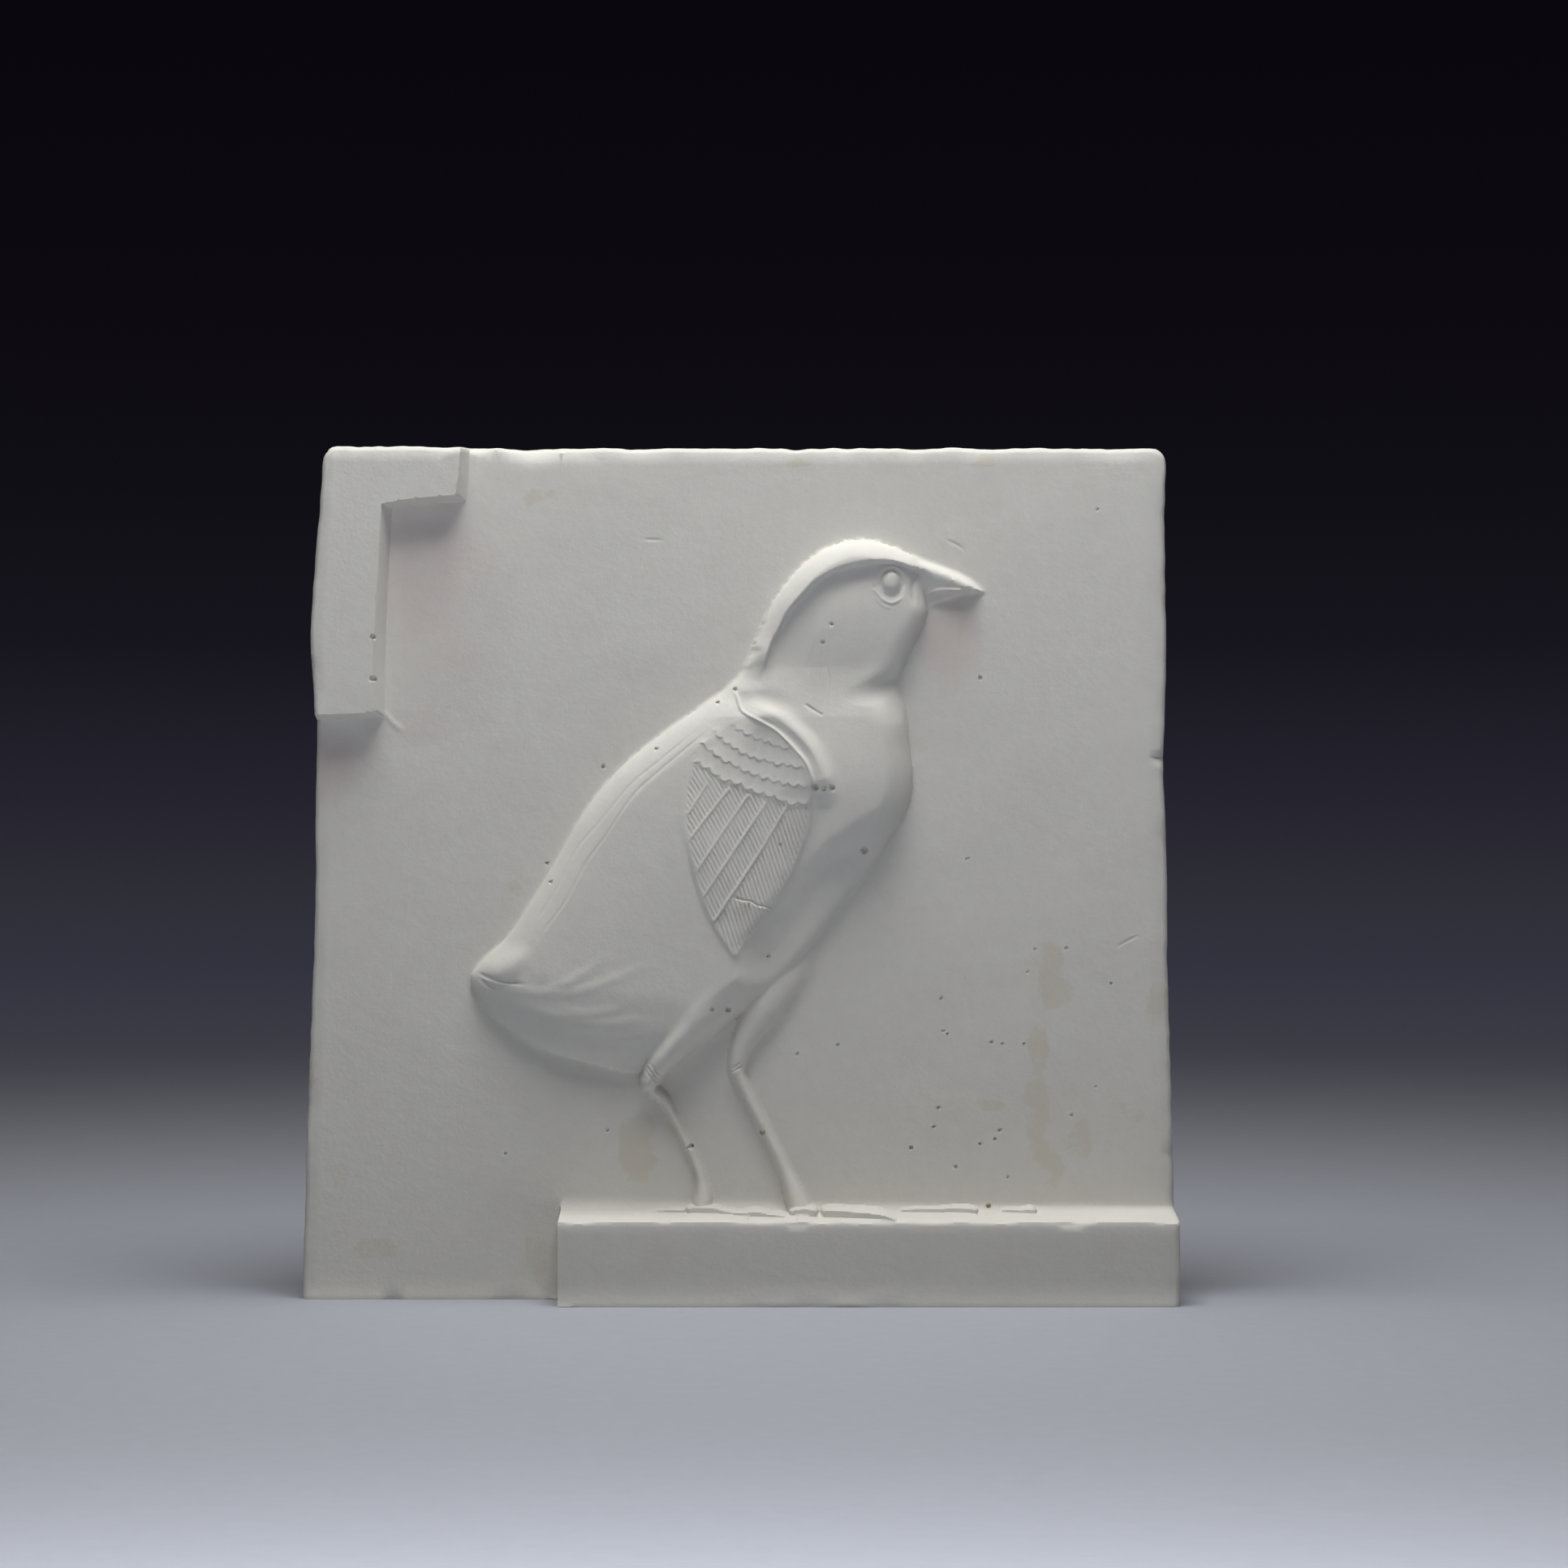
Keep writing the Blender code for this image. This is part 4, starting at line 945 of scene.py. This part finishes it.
# middle, radii and strength of each stain of age and handling, and of each faint reddish wash, which also
# paints shade under the border's bars and beside its upright
stains = [
    (-41.4, 162.6, 4.0, 2.0, 0.62), (-37.0, 163.2, 3.5, 1.4, 0.6), (-42.6, 160.4, 1.6, 2.6, 0.6),
    (11.0, 169.5, 6.0, 2.0, 0.55), (33.0, 171.0, 4.0, 2.0, 0.5), (50.0, 170.0, 6.0, 1.8, 0.55),
    (68.8, 163.8, 1.4, 5.0, 0.56), (61.5, 70.0, 4.0, 4.0, 0.56), (63.5, 65.0, 4.0, 9.0, 0.56),
    (67.0, 61.0, 3.0, 5.0, 0.54), (61.0, 50.0, 3.0, 7.0, 0.57), (60.0, 38.0, 4.0, 12.0, 0.58),
    (51.0, 39.3, 5.0, 2.2, 0.57), (62.0, 27.0, 5.5, 8.0, 0.57), (69.5, 32.0, 3.4, 6.0, 0.56),
    (84.6, 60.0, 3.0, 7.0, 0.62), (85.0, 47.0, 2.4, 8.0, 0.56), (80.0, 36.0, 4.0, 9.0, 0.54),
    (86.0, 150.0, 2.0, 16.0, 0.5), (-81.0, 26.0, 4.0, 6.0, 0.58), (-74.0, 10.0, 6.5, 4.0, 0.57),
    (-41.0, 10.0, 3.6, 9.0, 0.62), (-20.5, 31.0, 5.0, 10.0, 0.56), (-12.0, 36.0, 3.0, 5.0, 0.5),
    (-44.0, 84.0, 3.5, 4.5, 0.52), (20.0, 160.0, 10.0, 4.0, 0.48), (4.9, 34.6, 0.9, 1.4, 0.9),
    (50.7, 18.8, 1.0, 0.7, 0.9), (-86.5, 60.0, 2.5, 26.0, 0.5), (45.0, 137.0, 2.0, 7.0, 0.58),
]
# faint reddish tint that also paints shade under the border's bars and beside its upright, and a faint tint
# below the beak
reddishTintsAndShade = [
    (-63.4, 147.0, 8.0, 13.0, 0.6), (-84.0, 108.0, 7.0, 7.0, 0.6), (-66.0, 116.0, 9.0, 4.0, 0.3),
    (42.5, 134.0, 6.0, 9.0, 0.6), (-58.0, 140.0, 12.0, 22.0, 0.3),
]


def paintPlaces(data, name, places):
    # each is full within half its radii and gone at one and a half
    x, z = np.array([(vert.co.x / mm, vert.co.z / mm) for vert in data.vertices]).T
    strength = np.zeros(len(x))
    for cx, cz, rx, rz, amount in places:
        fall = np.clip(1.5 - np.hypot((x - cx) / rx, (z - cz) / rz), 0, 1)
        strength = np.maximum(strength, amount * fall * fall * (3 - 2 * fall))
    attribute = data.attributes.new(name, "FLOAT", "POINT")
    attribute.data.foreach_set("value", strength.astype(np.float32))


plaster = {
    # size in metres, detail and roughness of each noise
    "patterns": {
        "cloud": (0.030, 4.0, 0.6), "mottle": (0.0028, 5.0, 0.65),
        "ragged": (0.011, 8.0, 0.66), "skin": (0.0007, 3.0, 0.7),
    },
    "tone": ("#dedcd4", "#e4e2da"), "speckle": ("#f5f4f2", "#ffffff"),
    # colour of each mark, and the sum of its strength and the ragged noise where it starts and is full
    # the reddish wash is partly the plaster's own tint and partly painted shade under the border's bars
    "marks": {"stain": ("#d8d3c4", 1.01, 1.10), "reddishTintAndShade": ("#d6c8c1", 0.55, 1.5)},
    "roughness": (0.80, 0.93), "ior": 1.52,    # dry gypsum
    # strength and height in metres of the bump from each noise
    "bumps": {"ragged": (0.22, 0.00025), "mottle": (0.6, 0.00012), "skin": (0.5, 0.00003)},
}


def castPlaster():
    # gypsum plaster cast in a mould and left bare: matt, chalky, with soft mottling,
    # a very fine skin, faint yellow stains, and a faint reddish wash that also paints shade under the
    # border's bars
    material = bpy.data.materials.new("cast plaster")
    tree = emptyTree(material)
    place = addNode(tree, "ShaderNodeTexCoord").outputs["Object"]
    pattern = {}
    for name, (size, detail, roughness) in plaster["patterns"].items():
        settings = {"Scale": 1 / size, "Detail": detail, "Roughness": roughness}
        pattern[name] = addNode(tree, "ShaderNodeTexNoise", settings, {"Vector": place}).outputs["Fac"]
    mix = {"data_type": "RGBA"}
    light, dark = map(linear, plaster["tone"])
    tone = addNode(tree, "ShaderNodeMix", {**mix, 6: light, 7: dark}, {0: pattern["cloud"]})
    light, dark = map(linear, plaster["speckle"])
    speckle = addNode(tree, "ShaderNodeMix", {**mix, 6: light, 7: dark}, {0: pattern["mottle"]})
    shaded = addNode(tree, "ShaderNodeMix", {**mix, "blend_type": "MULTIPLY", 0: 1.0},
                     {6: tone.outputs[2], 7: speckle.outputs[2]})
    colour = shaded.outputs[2]
    # a stain has a crisp ragged border; the reddish wash, partly painted shade, fades away
    for name, (tint, low, high) in plaster["marks"].items():
        amount = addNode(tree, "ShaderNodeAttribute", {"attribute_name": name})
        total = addNode(tree, "ShaderNodeMath", {"operation": "ADD"},
                        {0: amount.outputs["Fac"], 1: pattern["ragged"]})
        mask = addNode(tree, "ShaderNodeMapRange", {"From Min": low, "From Max": high},
                       {"Value": total.outputs[0]})
        marked = addNode(tree, "ShaderNodeMix", {**mix, 7: linear(tint)}, {0: mask.outputs[0], 6: colour})
        colour = marked.outputs[2]
    least, most = plaster["roughness"]
    rough = addNode(tree, "ShaderNodeMapRange", {"To Min": least, "To Max": most},
                    {"Value": pattern["mottle"]})
    normal = {}
    for name, (strength, height) in plaster["bumps"].items():
        bump = addNode(tree, "ShaderNodeBump", {"Strength": strength, "Distance": height},
                       {"Height": pattern[name], **normal})
        normal = {"Normal": bump.outputs["Normal"]}
    shader = addNode(tree, "ShaderNodeBsdfPrincipled", {"IOR": plaster["ior"], "Metallic": 0.0},
                     {"Base Color": colour, "Roughness": rough.outputs[0], **normal})
    addNode(tree, "ShaderNodeOutputMaterial", {}, {"Surface": shader.outputs[0]})
    return material


def plasterRelief():
    mesh = planGrid()
    print("plan", len(mesh.faces), "faces")
    drawOntoLines(mesh)
    shapeFront(mesh)
    closeBack(mesh)
    bmesh.ops.triangulate(mesh, faces=[face for face in mesh.faces if len(face.verts) > 4])
    bmesh.ops.recalc_face_normals(mesh, faces=mesh.faces)
    bmesh.ops.scale(mesh, vec=(mm, mm, mm), verts=mesh.verts)
    data = bpy.data.meshes.new("castRelief")
    mesh.to_mesh(data)
    mesh.free()
    piece = newObject("castRelief", data)
    data.materials.append(castPlaster())
    paintPlaces(data, "stain", stains)
    # the reddish wash also paints shade under the border's bars and beside its upright
    paintPlaces(data, "reddishTintAndShade", reddishTintsAndShade)
    data.shade_smooth()
    data.set_sharp_from_angle(angle=math.radians(meshing["sharpAngle"]))
    print("cast relief", sum(len(face.vertices) - 2 for face in data.polygons), "triangles")
    return piece


relief = plasterRelief()
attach(relief, "root")
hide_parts("plaster_relief")


# Table, light and camera, in metres

table = {
    "half": 3.0, "cells": 8, "tones": ("#a5a8b0", "#acafb8"), "fibre": 0.004, "roughness": 0.9,
    # how far from the fade's middle the table starts to go and is gone
    "fadeMiddle": (0.0, 0.25, 0.0), "fade": (0.42, 1.25),
}
# place, target, size, watts, colour and spread of each light
lights = {
    "topLight": ((0.0, -0.12, 0.60), (0.0, -0.02, 0.0), (0.36, 0.30), 3.3, "#fefefe", 180),
    "tableLight": ((0.0, -0.62, 0.50), (0.0, -0.62, 0.0), (0.40, 0.30), 4.5, "#f8faff", 72),
    "frontFill": ((0.0, -1.6, 0.7), (0.0, 0.0, 0.08), (1.4, 1.0), 0.15, "#f6f7ff", 60),
}
# height in the view from low to high, and the tone there
skySpan = (-0.12, 0.2)
skyTones = [(0.0, "#62626a"), (0.08, "#52525a"), (0.15, "#3e3e48"), (0.22, "#343440"), (0.29, "#2e2e37"),
            (0.36, "#26242f"), (0.49, "#17161e"), (0.62, "#100f15"), (0.83, "#0c0910"), (1.0, "#0a070e")]
view = {"distance": 0.760, "x": 0.00926, "z": 0.10442, "framePixels": 1932, "metresPerPixel": 0.0001645,
        "sensor": 36}


def paleTable():
    # matt pale card, plain, its far part lost in the dark
    mesh = bmesh.new()
    bmesh.ops.create_grid(mesh, x_segments=table["cells"], y_segments=table["cells"], size=table["half"])
    data = bpy.data.meshes.new("paleTable")
    mesh.to_mesh(data)
    mesh.free()
    material = bpy.data.materials.new("pale card")
    tree = emptyTree(material)
    place = addNode(tree, "ShaderNodeTexCoord").outputs["Object"]
    centred = addNode(tree, "ShaderNodeMapping", {"Location": table["fadeMiddle"]}, {"Vector": place})
    reach = addNode(tree, "ShaderNodeVectorMath", {"operation": "LENGTH"}, {0: centred.outputs[0]})
    fadeStart, fadeEnd = table["fade"]
    fading = addNode(tree, "ShaderNodeMapRange",
                     {"interpolation_type": "SMOOTHSTEP", "From Min": fadeStart, "From Max": fadeEnd},
                     {"Value": reach.outputs["Value"]})
    fibre = addNode(tree, "ShaderNodeTexNoise", {"Scale": 1 / table["fibre"], "Detail": 3.0},
                    {"Vector": place})
    tone = addNode(tree, "ShaderNodeValToRGB", {}, {"Fac": fibre.outputs["Fac"]})
    for stop, colour in zip(tone.color_ramp.elements, table["tones"]):
        stop.color = linear(colour)
    card = addNode(tree, "ShaderNodeBsdfPrincipled", {"Roughness": table["roughness"]},
                   {"Base Color": tone.outputs["Color"]})
    clear = addNode(tree, "ShaderNodeBsdfTransparent")
    mixed = addNode(tree, "ShaderNodeMixShader", {},
                    {0: fading.outputs[0], 1: card.outputs[0], 2: clear.outputs[0]})
    addNode(tree, "ShaderNodeOutputMaterial", {}, {"Surface": mixed.outputs[0]})
    data.materials.append(material)
    newObject("paleTable", data)


def areaLight(name, place, target, size, power, colour, spread):
    data = bpy.data.lights.new(name, "AREA")
    data.shape = "RECTANGLE"
    data.size, data.size_y = size
    data.energy = power
    data.color = linear(colour)[:3]
    data.spread = math.radians(spread)
    light = newObject(name, data)
    light.location = place
    light.rotation_euler = (Vector(target) - Vector(place)).to_track_quat("-Z", "Y").to_euler()
    light.visible_camera = False


def darkStudio():
    world = bpy.data.worlds.new("darkStudio")
    bpy.context.scene.world = world
    tree = emptyTree(world)
    way = addNode(tree, "ShaderNodeTexCoord").outputs["Generated"]
    split = addNode(tree, "ShaderNodeSeparateXYZ", {}, {"Vector": way})
    low, high = skySpan
    height = addNode(tree, "ShaderNodeMapRange", {"From Min": low, "From Max": high},
                     {"Value": split.outputs["Z"]})
    sky = addNode(tree, "ShaderNodeValToRGB", {}, {"Fac": height.outputs[0]})
    stops = sky.color_ramp.elements
    for place, _ in skyTones[1:-1]:
        stops.new(place)
    for stop, (_, tone) in zip(stops, skyTones):
        stop.color = linear(tone)
    glow = addNode(tree, "ShaderNodeBackground", {"Strength": 1.0}, {"Color": sky.outputs["Color"]})
    addNode(tree, "ShaderNodeOutputWorld", {}, {"Surface": glow.outputs[0]})


def photographersCamera():
    # level, square to the slab's face and a little right of its middle
    data = bpy.data.cameras.new("photographersCamera")
    data.sensor_width = view["sensor"]
    data.lens = data.sensor_width * view["distance"] / (view["framePixels"] * view["metresPerPixel"])
    camera = newObject("photographersCamera", data)
    face = (ledge["proud"] - slab["thick"]) / 2 * mm
    camera.location = (view["x"], face - view["distance"], view["z"])
    camera.rotation_euler = (math.radians(90), 0, 0)
    bpy.context.scene.camera = camera


paleTable()
for name, settings in lights.items():
    areaLight(name, *settings)
darkStudio()
photographersCamera()
bpy.context.scene.view_settings.view_transform = "Standard"
print("table, light and camera set")
